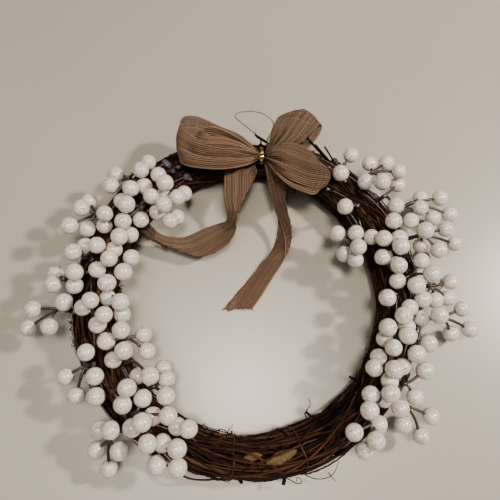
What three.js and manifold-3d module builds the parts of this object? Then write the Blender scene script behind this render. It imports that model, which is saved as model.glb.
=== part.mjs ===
// Door wreath: a ring of wound grapevine with white berry sprigs on both sides, a woven ribbon bow
// with two tails at the top, and a wire hanger. It lies on its back on the surface z = 0, with the
// bow towards +Y. Sizes are millimetres.
import * as THREE from 'three';
import { mergeVertices } from 'three/addons/utils/BufferGeometryUtils.js';
import Module from 'manifold-3d';

const wasm = await Module();
wasm.setup();

// Driving dimensions
const RING_RADIUS = 131; // centre line of the vine bundle
const RING_HEIGHT = 17; // height of that centre line above the surface
const BUNDLE_RADIUS = 19;
const CLEARANCE = 0.3;
const BERRY_RADIUS = 7.25;
const BERRY_FACET_RADIUS = 7.7; // corners of the faceted berry, for the volume of the round one
const STALK_RADIUS = 0.8;
const STEM_RADIUS = 1.2;
const STEM_REACH = 10; // from the bundle's centre line to the stem's foot
const KNUCKLE_RADIUS = 2.4; // where a sprig's stalks are wound together
const BERRY_GAP = 0.9; // least gap between two berries
const SETTLING_ROUNDS = 160;
const RIBBON_WIDTH = 38;
const RIBBON_THICKNESS = 0.8;
const KNOT = [12, 120, 45]; // middle of the bow's pinch
const PINCH = [5.5, 5, 6]; // half sizes of the pinched ribbon
const TIE = [6.8, 7.8]; // half width and half height of the tie round the pinch
const TIE_RADIUS = 1;
const BEAD_RADIUS = 3.2;
const BEAD_ANGLE = 122; // where it sits on the tie: 90 is its top, 180 its front
const HANGER_RADIUS = 0.75;
const HANGER_STEPS = 24;
const BINDING_RADIUS = 0.8;
const LEAF_THICKNESS = 0.7;
const MIDDLE = [4.4, 11.2]; // middle of the whole outline, from the ring's centre

// Places are given as they look from an eye point above the wreath: x and y on a plane 45 mm up,
// and the true height z. The true place lies on that line of sight.
const EYE = [-13.5, -75.3, 444.5];
const SIGHT_PLANE = 45;

const DEGREE = Math.PI / 180;

// Each berry sprig: the place of its hub, the ring angle at which its stem enters the vines, and the
// places of its berries.
const SPRIGS = {
  left_01: { hub: [-102, 99, 45],  at: 135, berries: [[-86, 113, 47], [-92, 105, 58], [-113, 101, 43],
    [-115, 89, 52], [-100, 88, 57], [-88, 91, 48]] },
  left_02: { hub: [-66, 88, 46],  at: 122, berries: [[-77, 101, 49], [-71, 94, 60], [-60, 81, 48],
    [-55, 85, 30]] },
  left_03: { hub: [-72, 66, 40],  at: 137, berries: [[-71, 73, 58], [-77, 69, 44], [-66, 61, 50],
    [-60, 63, 36], [-82, 81, 52]] },
  left_04: { hub: [-90, 72, 47],  at: 144, berries: [[-103, 72, 61], [-104, 60, 52], [-91, 60, 44],
    [-108, 80, 49]] },
  left_05: { hub: [-127, 66, 45],  at: 149, berries: [[-134, 77, 38], [-140, 71, 50], [-118, 65, 57],
    [-147, 55, 52], [-135, 53, 44]] },
  left_06: { hub: [-107, 39, 47],  at: 157, berries: [[-107, 46, 58], [-99, 51, 43], [-111, 35, 46]] },
  left_07: { hub: [-134, 28, 46],  at: 166, berries: [[-143, 33, 56], [-135, 37, 46], [-124, 38, 56]] },
  left_08: { hub: [-106, 21, 44],  at: 172, berries: [[-114, 27, 57], [-96, 28, 46], [-103, 16, 54]] },
  left_09: { hub: [-149, 10, 42],  at: 176, berries: [[-123, 18, 49], [-141, 15, 58], [-156, 15, 38],
    [-157, 6, 50], [-142, 3, 47]] },
  left_10: { hub: [-113, -2, 46],  at: 183, berries: [[-114, 7, 57], [-113, -5, 46], [-104, -10, 57],
    [-101, -18, 44]] },
  left_11: { hub: [-152, -14, 38],  at: 187, berries: [[-146, -6, 46], [-171, -14, 34], [-157, -28, 44],
    [-173, -29, 30]] },
  left_12: { hub: [-124, -16, 47],  at: 190, berries: [[-126, -8, 60], [-132, -13, 48], [-115, -18, 58],
    [-118, -28, 48]] },
  left_13: { hub: [-95, -37, 44],  at: 199, berries: [[-101, -31, 54], [-83, -35, 40], [-80, -47, 46],
    [-112, -40, 48]] },
  left_14: { hub: [-91, -54, 45],  at: 208, berries: [[-98, -47, 58], [-107, -51, 47], [-86, -66, 42],
    [-77, -66, 54]] },
  left_15: { hub: [-73, -74, 40],  at: 221, berries: [[-67, -61, 30], [-64, -69, 42], [-64, -81, 50]] },
  left_16: { hub: [-127, -58, 46],  at: 205, berries: [[-127, -48, 54], [-141, -66, 40], [-119, -66, 54],
    [-132, -80, 40], [-117, -81, 48]] },
  left_17: { hub: [-105, -77, 46],  at: 217, berries: [[-94, -75, 58], [-96, -87, 49]] },
  left_18: { hub: [-86, -93, 48],  at: 226, berries: [[-82, -83, 47], [-62, -95, 56], [-74, -96, 48],
    [-81, -100, 60], [-91, -104, 50]] },
  left_19: { hub: [-53, -99, 44],  at: 238, berries: [[-47, -106, 57], [-58, -106, 46]] },
  left_20: { hub: [-105, -112, 38],  at: 227, berries: [[-113, -105, 38], [-102, -105, 52],
    [-114, -119, 28], [-97, -120, 42], [-104, -132, 26]] },
  left_21: { hub: [-67, -118, 46],  at: 240, berries: [[-75, -115, 58], [-64, -112, 48], [-54, -118, 58],
    [-69, -130, 50], [-54, -132, 48]] },
  right_01: { hub: [85, 113, 42],  at: 52, berries: [[91, 121, 40], [81, 104, 50]] },
  right_02: { hub: [109, 105, 42],  at: 45, berries: [[107, 113, 38], [122, 114, 32], [132, 105, 42],
    [103, 96, 48], [116, 96, 56]] },
  right_03: { hub: [118, 83, 43],  at: 37, berries: [[130, 94, 30], [127, 74, 46]] },
  right_04: { hub: [142, 77, 34],  at: 31, berries: [[149, 81, 26], [148, 72, 40], [166, 81, 28],
    [173, 66, 24], [158, 63, 28]] },
  right_05: { hub: [94, 74, 44],  at: 39, berries: [[83, 73, 49]] },
  right_06: { hub: [86, 44, 38],  at: 25, berries: [[76, 49, 42], [91, 49, 46], [92, 37, 55],
    [89, 26, 42], [80, 31, 30]] },
  right_07: { hub: [130, 62, 44],  at: 27, berries: [[139, 60, 46], [124, 59, 52]] },
  right_08: { hub: [147, 48, 40],  at: 21, berries: [[150, 52, 52], [168, 53, 36], [174, 40, 26],
    [158, 35, 36], [147, 38, 30]] },
  right_09: { hub: [117, 42, 46],  at: 17, berries: [[103, 46, 43], [114, 44, 54], [127, 46, 48],
    [127, 37, 60]] },
  right_10: { hub: [137, 14, 45],  at: 8, berries: [[149, 12, 56], [144, 25, 44], [138, 5, 52],
    [126, 7, 48]] },
  right_11: { hub: [118, 18, 47],  at: 11, berries: [[113, 28, 52], [124, 23, 58]] },
  right_12: { hub: [150, 4, 38],  at: 3, berries: [[166, 7, 36], [163, -7, 26], [155, 6, 24],
    [141, -7, 46]] },
  right_13: { hub: [120, -3, 46],  at: 358, berries: [[113, -6, 50]] },
  right_14: { hub: [135, -22, 45],  at: 353, berries: [[131, -14, 50], [125, -21, 60], [139, -21, 42]] },
  right_15: { hub: [157, -22, 36],  at: 350, berries: [[151, -21, 52], [173, -15, 34], [177, -32, 24],
    [163, -35, 20]] },
  right_16: { hub: [135, -39, 44],  at: 343, berries: [[126, -38, 56], [131, -50, 56], [143, -43, 42],
    [127, -30, 46]] },
  right_17: { hub: [118, -36, 46],  at: 340, berries: [[112, -31, 56], [108, -39, 45], [116, -45, 58]] },
  right_18: { hub: [110, -59, 46],  at: 332, berries: [[102, -53, 45], [99, -61, 54], [113, -63, 62],
    [121, -60, 50]] },
  right_19: { hub: [122, -74, 42],  at: 327, berries: [[138, -64, 42], [128, -84, 40]] },
  right_20: { hub: [122, -90, 38],  at: 322, berries: [[139, -98, 28], [130, -112, 26], [116, -92, 48],
    [117, -104, 34]] },
  right_21: { hub: [102, -84, 46],  at: 320, berries: [[109, -81, 56], [94, -82, 49], [92, -93, 58]] },
  right_22: { hub: [94, -103, 45],  at: 312, berries: [[79, -109, 52], [95, -115, 52], [98, -104, 44],
    [86, -122, 42]] },
};

// Loose vines lie along the bundle. Each has its first and last ring angle, the angle round the
// bundle at each end (0 outwards, 90 up, 180 inwards), how far it lifts off, and its radius.
const VINES = [
  { from: 196, to: 300, around: [70, 150], lift: 1.6, radius: 1.9 },
  { from: 236, to: 330, around: [120, 40], lift: 2.0, radius: 1.7 },
  { from: 246, to: 352, around: [20, 80], lift: 2.2, radius: 1.8 },
  { from: 258, to: 305, around: [150, 200], lift: 1.8, radius: 1.4 },
  { from: 300, to: 392, around: [100, 160], lift: 1.6, radius: 1.7 },
  { from: 20, to: 118, around: [60, 130], lift: 1.8, radius: 1.9 },
  { from: 44, to: 108, around: [150, 95], lift: 2.0, radius: 1.5 },
  { from: 92, to: 168, around: [70, 20], lift: 2.0, radius: 1.8 },
  { from: 128, to: 232, around: [150, 110], lift: 1.4, radius: 1.8 },
];

// Cut vine ends that stand out of the bundle: ring angle and angle round the bundle where the twig
// leaves, the place of its tip, and its radius.
const TWIGS = [
  { at: 78, around: 60, tip: [7, 140, 44], radius: 1.1 },
  { at: 55, around: 75, tip: [54, 137, 53], radius: 1.3 },
  { at: 56, around: 20, tip: [68, 129, 36], radius: 0.9 },
  { at: 281, around: 10, tip: [24, -145, 20], radius: 1.4 },
  { at: 262, around: 5, tip: [-6, -143, 22], radius: 1.3 },
  { at: 286, around: 165, tip: [21, -106, 40], radius: 1.0 },
  { at: 300, around: 160, tip: [43, -94, 42], radius: 1.0 },
];

// Ribbon: each stretch is a list of stations, and a station is the places of the ribbon's two edges
const RIBBON = {
  left_outer: { stations: [[11, 122, 43, 11, 117, 43], [-6, 139, 40, -6, 113, 42],
    [-25, 148, 41, -26, 113, 43], [-44, 157, 43, -46, 117, 45], [-56, 157, 47, -57, 117, 50],
    [-59, 149, 55, -58, 112, 57], [-46, 136, 61, -48, 108, 62], [-25, 129, 61, -25, 107, 61],
    [-7, 127, 57, -5, 110, 57], [11, 122, 49, 11, 117, 49]], bulge: [0, -0.5] },
  left_inner: { stations: [[11, 121, 45, 11, 118, 45], [-5, 135, 46, -6, 118, 46],
    [-22, 145, 47, -22, 117, 48], [-35, 149, 49, -36, 116, 51], [-42, 145, 52, -42, 114, 54],
    [-36, 139, 56, -36, 112, 57], [-21, 137, 56, -20, 113, 57], [-6, 132, 53, -5, 113, 53],
    [11, 121, 47, 11, 118, 47]], bulge: [0, 0] },
  right_upper: { stations: [[15, 121, 44, 15, 118, 44], [28, 136, 44, 44, 123, 46],
    [39, 150, 44, 62, 138, 45], [43, 162, 46, 67, 149, 46], [38, 166, 52, 66, 155, 51],
    [29, 160, 57, 61, 152, 55], [23, 149, 56, 51, 140, 54], [20, 135, 52, 37, 126, 51],
    [15, 121, 47, 15, 118, 47]], bulge: [0, 0.3] },
  right_lower: { stations: [[15, 121, 42, 15, 118, 42], [27, 119, 40, 22, 103, 41],
    [45, 118, 41, 36, 95, 43], [63, 111, 44, 56, 87, 46], [70, 104, 52, 65, 85, 53],
    [64, 117, 61, 56, 84, 60], [52, 128, 64, 45, 88, 63], [38, 133, 63, 33, 94, 61],
    [24, 130, 57, 23, 105, 56], [15, 121, 48, 15, 118, 48]], bulge: [0, 0.5] },
  tail_left: { stations: [[9, 119, 44, 10, 117, 44], [-8, 112, 42, 7, 111, 43],
    [-19, 104, 41, 4, 102, 42], [-20, 90, 37, -2, 88, 40], [-17, 76, 30, -7, 75, 37],
    [-15, 66, 24, -9, 66, 36], [-20, 59, 20, -12, 52, 34], [-31, 54, 18, -20, 39, 28],
    [-48, 49, 18, -36, 28, 22], [-61, 47, 20, -57, 33, 21], [-72, 53, 22, -72, 41, 25],
    [-84, 56, 28, -86, 46, 32]], bulge: [-0.6, -0.6] },
  tail_right: { stations: [[14, 116, 42, 16, 116, 42], [18, 108, 41, 30, 102, 42],
    [19, 92, 36, 34, 89, 40], [21, 77, 26, 31, 73, 37], [21, 62, 17, 32, 60, 33],
    [20, 47, 12, 33, 48, 28], [15, 33, 9, 29, 32, 24], [6, 20, 7, 21, 17, 19], [-5, 8, 6, 13, 3, 14],
    [-14, -5, 5, 6, -6, 9], [-19, -14, 4, 3, -10, 5]], bulge: [0.6, 0.6] },
};

// The hanger's route, a stiff wire loop behind the bow
const HANGER_ROUTE = [[15, 128, 30], [16, 132, 38], [19, 140, 40], [23, 150, 41], [23, 157, 41],
  [19, 162, 41], [10, 165, 40], [0, 167, 39], [-7, 167, 38], [-11, 164, 38], [-10, 159, 39],
  [-4, 154, 40], [3, 147, 40], [8, 140, 40], [10, 134, 38], [11, 129, 30]];

const GLUE_SPOTS = [[-70, 112, 5.0], [-52, 100, 4.5], [66, 119, 3.6], [76, 115, 4.2]];
const LEAVES = [
  { foot: [-5, -126], tip: [9, -124], width: 6, height: 41 },
  { foot: [12, -130], tip: [35, -121], width: 9, height: 42 },
];
const BINDING_ANGLES = [263, 287]; // ring angles of the two wraps of binding wire

// The true place of a point seen at x, y and lying at the height z
function seen([x, y, z]) {
  const reach = (EYE[2] - z) / (EYE[2] - SIGHT_PLANE);
  return new THREE.Vector3(EYE[0] + (x - EYE[0]) * reach, EYE[1] + (y - EYE[1]) * reach, z);
}

// A place in the bundle: ring angle, angle round the bundle, and distance from its centre line
function inBundle(ringAngle, around, distance) {
  const a = ringAngle * DEGREE;
  const b = around * DEGREE;
  const r = RING_RADIUS + distance * Math.cos(b);
  return new THREE.Vector3(r * Math.cos(a), r * Math.sin(a), RING_HEIGHT + distance * Math.sin(b));
}

// The nearest place to p on the bundle's centre line
function onCentreLine(p) {
  const r = Math.hypot(p.x, p.y);
  return new THREE.Vector3((p.x * RING_RADIUS) / r, (p.y * RING_RADIUS) / r, RING_HEIGHT);
}

// A closed solid, its faces turned outwards
function solidOf(positions, triangles) {
  const geometry = new THREE.BufferGeometry();
  geometry.setAttribute('position', new THREE.Float32BufferAttribute(positions, 3));
  geometry.setIndex(triangles);
  return outward(geometry);
}

// Turns a closed solid's faces outwards if they point in
function outward(geometry) {
  const p = geometry.attributes.position;
  const index = Array.from(geometry.index.array);
  let volume = 0;
  const [a, b, c] = [new THREE.Vector3(), new THREE.Vector3(), new THREE.Vector3()];
  for (let k = 0; k < index.length; k += 3) {
    a.fromBufferAttribute(p, index[k]);
    b.fromBufferAttribute(p, index[k + 1]);
    c.fromBufferAttribute(p, index[k + 2]);
    volume += a.dot(b.cross(c));
  }
  if (volume < 0) {
    for (let k = 0; k < index.length; k += 3) {
      [index[k + 1], index[k + 2]] = [index[k + 2], index[k + 1]];
    }
    geometry.setIndex(index);
  }
  return geometry;
}

function toManifold(geometry) {
  const bare = geometry.clone();
  bare.deleteAttribute('normal');
  bare.deleteAttribute('uv');
  const merged = mergeVertices(bare, 1e-4);
  return new wasm.Manifold(new wasm.Mesh({
    numProp: 3,
    vertProperties: new Float32Array(merged.attributes.position.array),
    triVerts: new Uint32Array(merged.index.array),
  }));
}

function toGeometry(manifold) {
  const mesh = manifold.getMesh();
  return solidOf(Array.from(mesh.vertProperties), Array.from(mesh.triVerts));
}

function join(geometries) {
  const solids = geometries.map(toManifold);
  return solids.reduce((whole, solid) => whole.add(solid));
}

// The largest body of a solid, so that no loose crumb is left by a cut
function largestBody(manifold) {
  const bodies = manifold.decompose();
  return bodies.reduce((best, body) => (body.volume() > best.volume() ? body : best));
}

// Skins rings of corners, each a list of points, into a closed solid. A ring may have one point.
function skin(rings) {
  const positions = [];
  const starts = [];
  for (const ring of rings) {
    starts.push(positions.length / 3);
    for (const p of ring) {
      positions.push(p.x, p.y, p.z);
    }
  }
  const triangles = [];
  for (let k = 0; k + 1 < rings.length; k += 1) {
    stitch(triangles, starts[k], rings[k].length, starts[k + 1], rings[k + 1].length);
  }
  closeEnd(triangles, starts[0], rings[0].length, true);
  closeEnd(triangles, starts[rings.length - 1], rings[rings.length - 1].length, false);
  return solidOf(positions, triangles);
}

// Joins two rings of corners that both start at the same side, whatever their counts
function stitch(triangles, a, countA, b, countB) {
  let i = 0;
  let j = 0;
  while (i < countA || j < countB) {
    const nextA = countA > 1 ? (i + 1) / countA : 2;
    const nextB = countB > 1 ? (j + 1) / countB : 2;
    const cornerA = a + (i % countA);
    const cornerB = b + (j % countB);
    if (nextA <= nextB && i < countA) {
      triangles.push(cornerA, a + ((i + 1) % countA), cornerB);
      i += 1;
    } else if (countB > 1 && j < countB) {
      triangles.push(cornerA, b + ((j + 1) % countB), cornerB);
      j += 1;
    } else {
      break;
    }
  }
}

function closeEnd(triangles, start, count, first) {
  for (let k = 1; k + 1 < count; k += 1) {
    if (first) {
      triangles.push(start, start + k + 1, start + k);
    } else {
      triangles.push(start, start + k, start + k + 1);
    }
  }
}

// Two directions across the direction d
function across(d) {
  const helper = Math.abs(d.z) < 0.9 ? new THREE.Vector3(0, 0, 1) : new THREE.Vector3(1, 0, 0);
  const u = new THREE.Vector3().crossVectors(d, helper).normalize();
  const v = new THREE.Vector3().crossVectors(d, u).normalize();
  return [u, v];
}

// A ring of corners round a place, from the two directions across it
function cornersRound(centre, u, v, radius, count, turn = 0) {
  const corners = [];
  for (let k = 0; k < count; k += 1) {
    const angle = (2 * Math.PI * (k + turn)) / count;
    const corner = centre.clone().addScaledVector(u, radius * Math.cos(angle));
    corners.push(corner.addScaledVector(v, radius * Math.sin(angle)));
  }
  return corners;
}

// A straight round bar with few sides
function bar(start, end, radius, sides) {
  const direction = end.clone().sub(start).normalize();
  const [u, v] = across(direction);
  return skin([cornersRound(start, u, v, radius, sides), cornersRound(end, u, v, radius, sides)]);
}

// A round bar along a route, its section carried on without twist. Closed routes join end to start.
function barAlong(route, radius, sides, closed = false) {
  const rings = [];
  const count = route.length;
  let u = null;
  for (let k = 0; k < count; k += 1) {
    const before = route[closed ? (k + count - 1) % count : Math.max(k - 1, 0)];
    const after = route[closed ? (k + 1) % count : Math.min(k + 1, count - 1)];
    const direction = after.clone().sub(before).normalize();
    if (u === null) {
      [u] = across(direction);
    }
    u.addScaledVector(direction, -u.dot(direction)).normalize();
    const v = new THREE.Vector3().crossVectors(direction, u);
    const size = typeof radius === 'function' ? radius(k / (count - 1)) : radius;
    rings.push(cornersRound(route[k], u.clone(), v, size, sides));
  }
  return rings;
}

// Berry sprigs: the berries settle until none touches another sprig or the vines
function settledSprigs() {
  const names = Object.keys(SPRIGS);
  const berries = [];
  const bars = [];
  const sprigs = names.map((name, owner) => {
    const { hub, at, berries: places } = SPRIGS[name];
    const centre = seen(hub);
    const line = inBundle(at, 90, 0);
    const root = line.clone().addScaledVector(centre.clone().sub(line).normalize(), STEM_REACH);
    const sprig = { name, owner, hub: centre, root, berries: places.map(seen) };
    bars.push({ owner, a: root, b: centre, radius: STEM_RADIUS, fixed: true });
    for (const place of sprig.berries) {
      berries.push({ owner, place });
      bars.push({ owner, a: centre, b: place, radius: STALK_RADIUS, fixed: false });
    }
    return sprig;
  });
  for (let round = 0; round < SETTLING_ROUNDS; round += 1) {
    spreadBerries(berries);
    keepBarsClear(berries, bars);
    keepOffVines(berries, bars);
  }
  return sprigs;
}

function spreadBerries(berries) {
  const apart = 2 * BERRY_RADIUS + BERRY_GAP;
  for (let i = 0; i < berries.length; i += 1) {
    for (let j = i + 1; j < berries.length; j += 1) {
      pushApart(berries[i].place, berries[j].place, apart, 0.5, 0.5);
    }
  }
}

// Moves two places apart to a least distance, by their shares
function pushApart(p, q, least, shareP, shareQ) {
  const way = q.clone().sub(p);
  const distance = way.length();
  if (distance >= least) {
    return;
  }
  way.multiplyScalar((least - distance) / distance);
  p.addScaledVector(way, -shareP);
  q.addScaledVector(way, shareQ);
}

function keepBarsClear(berries, bars) {
  for (const one of bars) {
    for (const berry of berries) {
      if (berry.owner !== one.owner) {
        const t = nearestAlong(one.a, one.b, berry.place);
        clearBar(one, t, berry.place, null, BERRY_FACET_RADIUS + one.radius + CLEARANCE);
      }
    }
  }
  for (let i = 0; i < bars.length; i += 1) {
    for (let j = i + 1; j < bars.length; j += 1) {
      if (bars[i].owner !== bars[j].owner) {
        const [s, t] = nearestBars(bars[i], bars[j]);
        const place = bars[j].a.clone().lerp(bars[j].b, t);
        clearBar(bars[i], s, place, { bar: bars[j], t }, bars[i].radius + bars[j].radius + CLEARANCE + 0.4);
      }
    }
  }
}

// Pushes a bar, at the share t of its length, away from a place, which is a berry or on a bar
function clearBar(one, t, place, other, least) {
  const onBar = one.a.clone().lerp(one.b, t);
  const way = place.clone().sub(onBar);
  const distance = way.length();
  if (distance >= least || distance < 1e-6) {
    return;
  }
  way.multiplyScalar(((least - distance) / distance) * 0.5);
  moveBar(one, t, way, -1);
  if (other) {
    moveBar(other.bar, other.t, way, 1);
  } else {
    place.add(way);
  }
}

function moveBar(one, t, way, sign) {
  if (!one.fixed) {
    one.a.addScaledVector(way, sign * (1 - t));
  }
  one.b.addScaledVector(way, sign * t);
}

function nearestAlong(a, b, p) {
  const way = b.clone().sub(a);
  return THREE.MathUtils.clamp(p.clone().sub(a).dot(way) / way.lengthSq(), 0, 1);
}

// The shares along two bars where they come nearest
function nearestBars(one, two) {
  let s = 0.5;
  let t = 0.5;
  for (let k = 0; k < 4; k += 1) {
    t = nearestAlong(two.a, two.b, one.a.clone().lerp(one.b, s));
    s = nearestAlong(one.a, one.b, two.a.clone().lerp(two.b, t));
  }
  return [s, t];
}

// Berries, hubs and the middles of stalks stay off the vines and above the surface
function keepOffVines(berries, bars) {
  for (const { place } of berries) {
    pushOffBundle(place, BUNDLE_RADIUS + 1.6 + BERRY_FACET_RADIUS);
    place.z = Math.max(place.z, BERRY_FACET_RADIUS + 1);
  }
  for (const { a, b, fixed } of bars) {
    if (fixed) {
      pushOffBundle(b, BUNDLE_RADIUS + 4);
    } else {
      for (const share of [0.25, 0.5, 0.75]) {
        const place = a.clone().lerp(b, share);
        const before = place.clone();
        pushOffBundle(place, BUNDLE_RADIUS + 2.6);
        const way = place.sub(before);
        a.add(way);
        b.add(way);
      }
    }
  }
}

function pushOffBundle(place, least) {
  const way = place.clone().sub(onCentreLine(place));
  const distance = way.length();
  if (distance < least) {
    place.addScaledVector(way, (least - distance) / distance);
  }
}

// A stalk that widens into its berry, in one closed solid
function berryOnStalk(hub, centre) {
  const direction = centre.clone().sub(hub).normalize();
  const [u, v] = across(direction);
  const ring = (lat, count, turn) => cornersRound(
    centre.clone().addScaledVector(direction, BERRY_FACET_RADIUS * Math.sin(lat * DEGREE)),
    u, v, BERRY_FACET_RADIUS * Math.cos(lat * DEGREE), count, turn);
  const entry = centre.clone().addScaledVector(direction, -BERRY_FACET_RADIUS * 0.97);
  return skin([
    cornersRound(hub.clone().addScaledVector(direction, 0.9), u, v, STALK_RADIUS, 3),
    cornersRound(entry, u, v, STALK_RADIUS, 3),
    ring(-28, 6, 0),
    ring(32, 6, 0.5),
    [centre.clone().addScaledVector(direction, BERRY_FACET_RADIUS)],
  ]);
}

function sprigSolid(sprig) {
  const pieces = [bar(sprig.root, sprig.hub, STEM_RADIUS, 3)];
  const knuckle = new THREE.OctahedronGeometry(KNUCKLE_RADIUS, 0);
  pieces.push(knuckle.translate(...sprig.hub.toArray()));
  for (const centre of sprig.berries) {
    pieces.push(berryOnStalk(sprig.hub, centre));
  }
  return largestBody(join(pieces));
}

function socketOf(sprig) {
  const way = sprig.hub.clone().sub(sprig.root).normalize();
  const foot = sprig.root.clone().addScaledVector(way, -CLEARANCE);
  return bar(foot, sprig.hub, STEM_RADIUS + CLEARANCE * 2, 3);
}

// The vine bundle: its surface is raised in long vines that wind round it
const STRANDS = 8; // vines round the bundle
const STRAND_TURNS = 13; // strands that pass the top on the way round the ring
const RING_STEPS = 34;
const VINE_STEP = 12; // degrees of the ring to each step of a loose vine
function bundleSurface(ringTurn, sectionTurn) {
  const strand = STRANDS * sectionTurn + STRAND_TURNS * ringTurn;
  const ridge = Math.abs(Math.cos(strand / 2)) - 1;
  const slowSwell = 0.55 * Math.sin(2 * sectionTurn + 5 * ringTurn + 1.3);
  const quickSwell = 0.45 * Math.sin(3 * sectionTurn - 8 * ringTurn);
  return BUNDLE_RADIUS - 0.8 + 3.4 * ridge + slowSwell + quickSwell;
}

function bundleCore() {
  const along = RING_STEPS;
  const around = 3 * STRANDS;
  const positions = [];
  const triangles = [];
  for (let i = 0; i < along; i += 1) {
    for (let j = 0; j < around; j += 1) {
      const ringTurn = (2 * Math.PI * i) / along;
      const sectionTurn = (2 * Math.PI * (j - (STRAND_TURNS * i * 3) / along)) / around;
      const p = inBundle(ringTurn / DEGREE, sectionTurn / DEGREE, bundleSurface(ringTurn, sectionTurn));
      positions.push(p.x, p.y, p.z);
    }
  }
  // The strands come round STRAND_TURNS places further on, so the last row meets the first so shifted
  const shift = (3 * STRAND_TURNS) % around;
  for (let i = 0; i < along; i += 1) {
    const last = i === along - 1;
    for (let j = 0; j < around; j += 1) {
      const a = i * around + j;
      const b = i * around + ((j + 1) % around);
      const next = last ? 0 : (i + 1) * around;
      const turn = last ? around - shift : 0;
      const c = next + ((j + turn) % around);
      const d = next + ((j + 1 + turn) % around);
      triangles.push(a, d, c, a, b, d);
    }
  }
  return solidOf(positions, triangles);
}

function looseVine({ from, to, around, lift, radius }) {
  const steps = Math.round((to - from) / VINE_STEP);
  const route = [];
  for (let k = 0; k <= steps; k += 1) {
    const t = k / steps;
    const proud = Math.sin(Math.PI * t) ** 0.5;
    const distance = BUNDLE_RADIUS - 5 + (5 + lift - radius * 0.6) * proud;
    route.push(inBundle(from + (to - from) * t, around[0] + (around[1] - around[0]) * t, distance));
  }
  return skin(barAlong(route, radius, 4));
}

function twig({ at, around, tip, radius }) {
  const foot = inBundle(at, around, BUNDLE_RADIUS - 7);
  return bar(foot, seen(tip), radius, 4);
}

// A flat slab under the surface, which trims the underside of the bundle
function slabBelow() {
  const slab = new THREE.BoxGeometry(400, 400, 30);
  return slab.translate(0, 0, -15);
}

function vineRing(cuts) {
  let ring = join([bundleCore(), ...VINES.map(looseVine), ...TWIGS.map(twig)]);
  ring = ring.subtract(toManifold(slabBelow()));
  for (const cut of cuts) {
    ring = ring.subtract(toManifold(cut));
  }
  return largestBody(ring);
}

// Ribbon: a smooth curve through four places, between the middle two
function through(p0, p1, p2, p3, t) {
  const at = (axis) => {
    const [a, b, c, d] = [p0[axis], p1[axis], p2[axis], p3[axis]];
    const [slope, bend, twist] = [c - a, 2 * a - 5 * b + 4 * c - d, 3 * b - a - 3 * c + d];
    return b + 0.5 * (slope * t + bend * t * t + twist * t * t * t);
  };
  return new THREE.Vector3(at('x'), at('y'), at('z'));
}

function alongCurve(points, turn) {
  const last = points.length - 1;
  const k = Math.min(Math.floor(turn * last), last - 1);
  const t = turn * last - k;
  const [p0, p1, p2, p3] = [k - 1, k, k + 1, k + 2].map((i) => points[THREE.MathUtils.clamp(i, 0, last)]);
  return through(p0, p1, p2, p3, t);
}

// A place on a stretch of ribbon: how far along, and how far across from one edge to the other.
// Where its edges are drawn together the ribbon bulges, so that it keeps its width.
function ribbonPlace(stretch, along, across01) {
  const edgeA = alongCurve(stretch.edgeA, along);
  const edgeB = alongCurve(stretch.edgeB, along);
  const step = 0.01;
  const bothEdges = (turn) => alongCurve(stretch.edgeA, turn).add(alongCurve(stretch.edgeB, turn));
  const before = bothEdges(Math.max(along - step, 0));
  const after = bothEdges(Math.min(along + step, 1));
  const chord = edgeB.clone().sub(edgeA);
  const normal = new THREE.Vector3().crossVectors(after.sub(before), chord).normalize();
  const width = chord.length();
  const slack = Math.max(RIBBON_WIDTH / width - 1, 0);
  const height = Math.min(width * Math.sqrt(0.375 * slack), 0.3 * width);
  const bulge = THREE.MathUtils.lerp(stretch.bulge[0], stretch.bulge[1], along);
  return edgeA.addScaledVector(chord, across01)
    .addScaledVector(normal, bulge * height * Math.sin(Math.PI * across01));
}

function ribbonSolid({ stations, bulge }) {
  const stretch = {
    edgeA: stations.map((s) => seen([s[0], s[1], s[2]])),
    edgeB: stations.map((s) => seen([s[3], s[4], s[5]])),
    bulge,
  };
  const along = 2 * (stations.length - 1);
  const strips = 3;
  const rows = [];
  for (let i = 0; i <= along; i += 1) {
    const row = [];
    for (let j = 0; j <= strips; j += 1) {
      row.push(ribbonPlace(stretch, i / along, j / strips));
    }
    rows.push(row);
  }
  return thicken(rows, RIBBON_THICKNESS);
}

// Gives a grid of places a thickness, half on each side
function thicken(rows, thickness) {
  const n = rows.length;
  const m = rows[0].length;
  const sides = [1, -1].map((side) => rows.map((row, i) => row.map((p, j) => {
    const du = rows[Math.min(i + 1, n - 1)][j].clone().sub(rows[Math.max(i - 1, 0)][j]);
    const dv = row[Math.min(j + 1, m - 1)].clone().sub(row[Math.max(j - 1, 0)]);
    const normal = du.cross(dv).normalize();
    return p.clone().addScaledVector(normal, (side * thickness) / 2);
  })));
  const rings = [];
  for (let i = 0; i < n; i += 1) {
    rings.push([...sides[0][i], ...sides[1][i].slice().reverse()]);
  }
  return skin(rings);
}

function bowSolid() {
  const pinch = new THREE.SphereGeometry(1, 10, 6).scale(...PINCH).translate(...KNOT);
  return largestBody(join([pinch, ...Object.values(RIBBON).map(ribbonSolid)]));
}

// The tie: two turns of gold wire round the pinch, drawn as one flat band
function tieSolid(extra = 0) {
  const route = [];
  const count = 12;
  for (let k = 0; k < count; k += 1) {
    const angle = (2 * Math.PI * k) / count;
    const y = KNOT[1] + TIE[0] * Math.cos(angle);
    const z = KNOT[2] + TIE[1] * Math.sin(angle);
    route.push(new THREE.Vector3(KNOT[0], y, z));
  }
  return closedBar(route, TIE_RADIUS + extra, 4);
}

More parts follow.
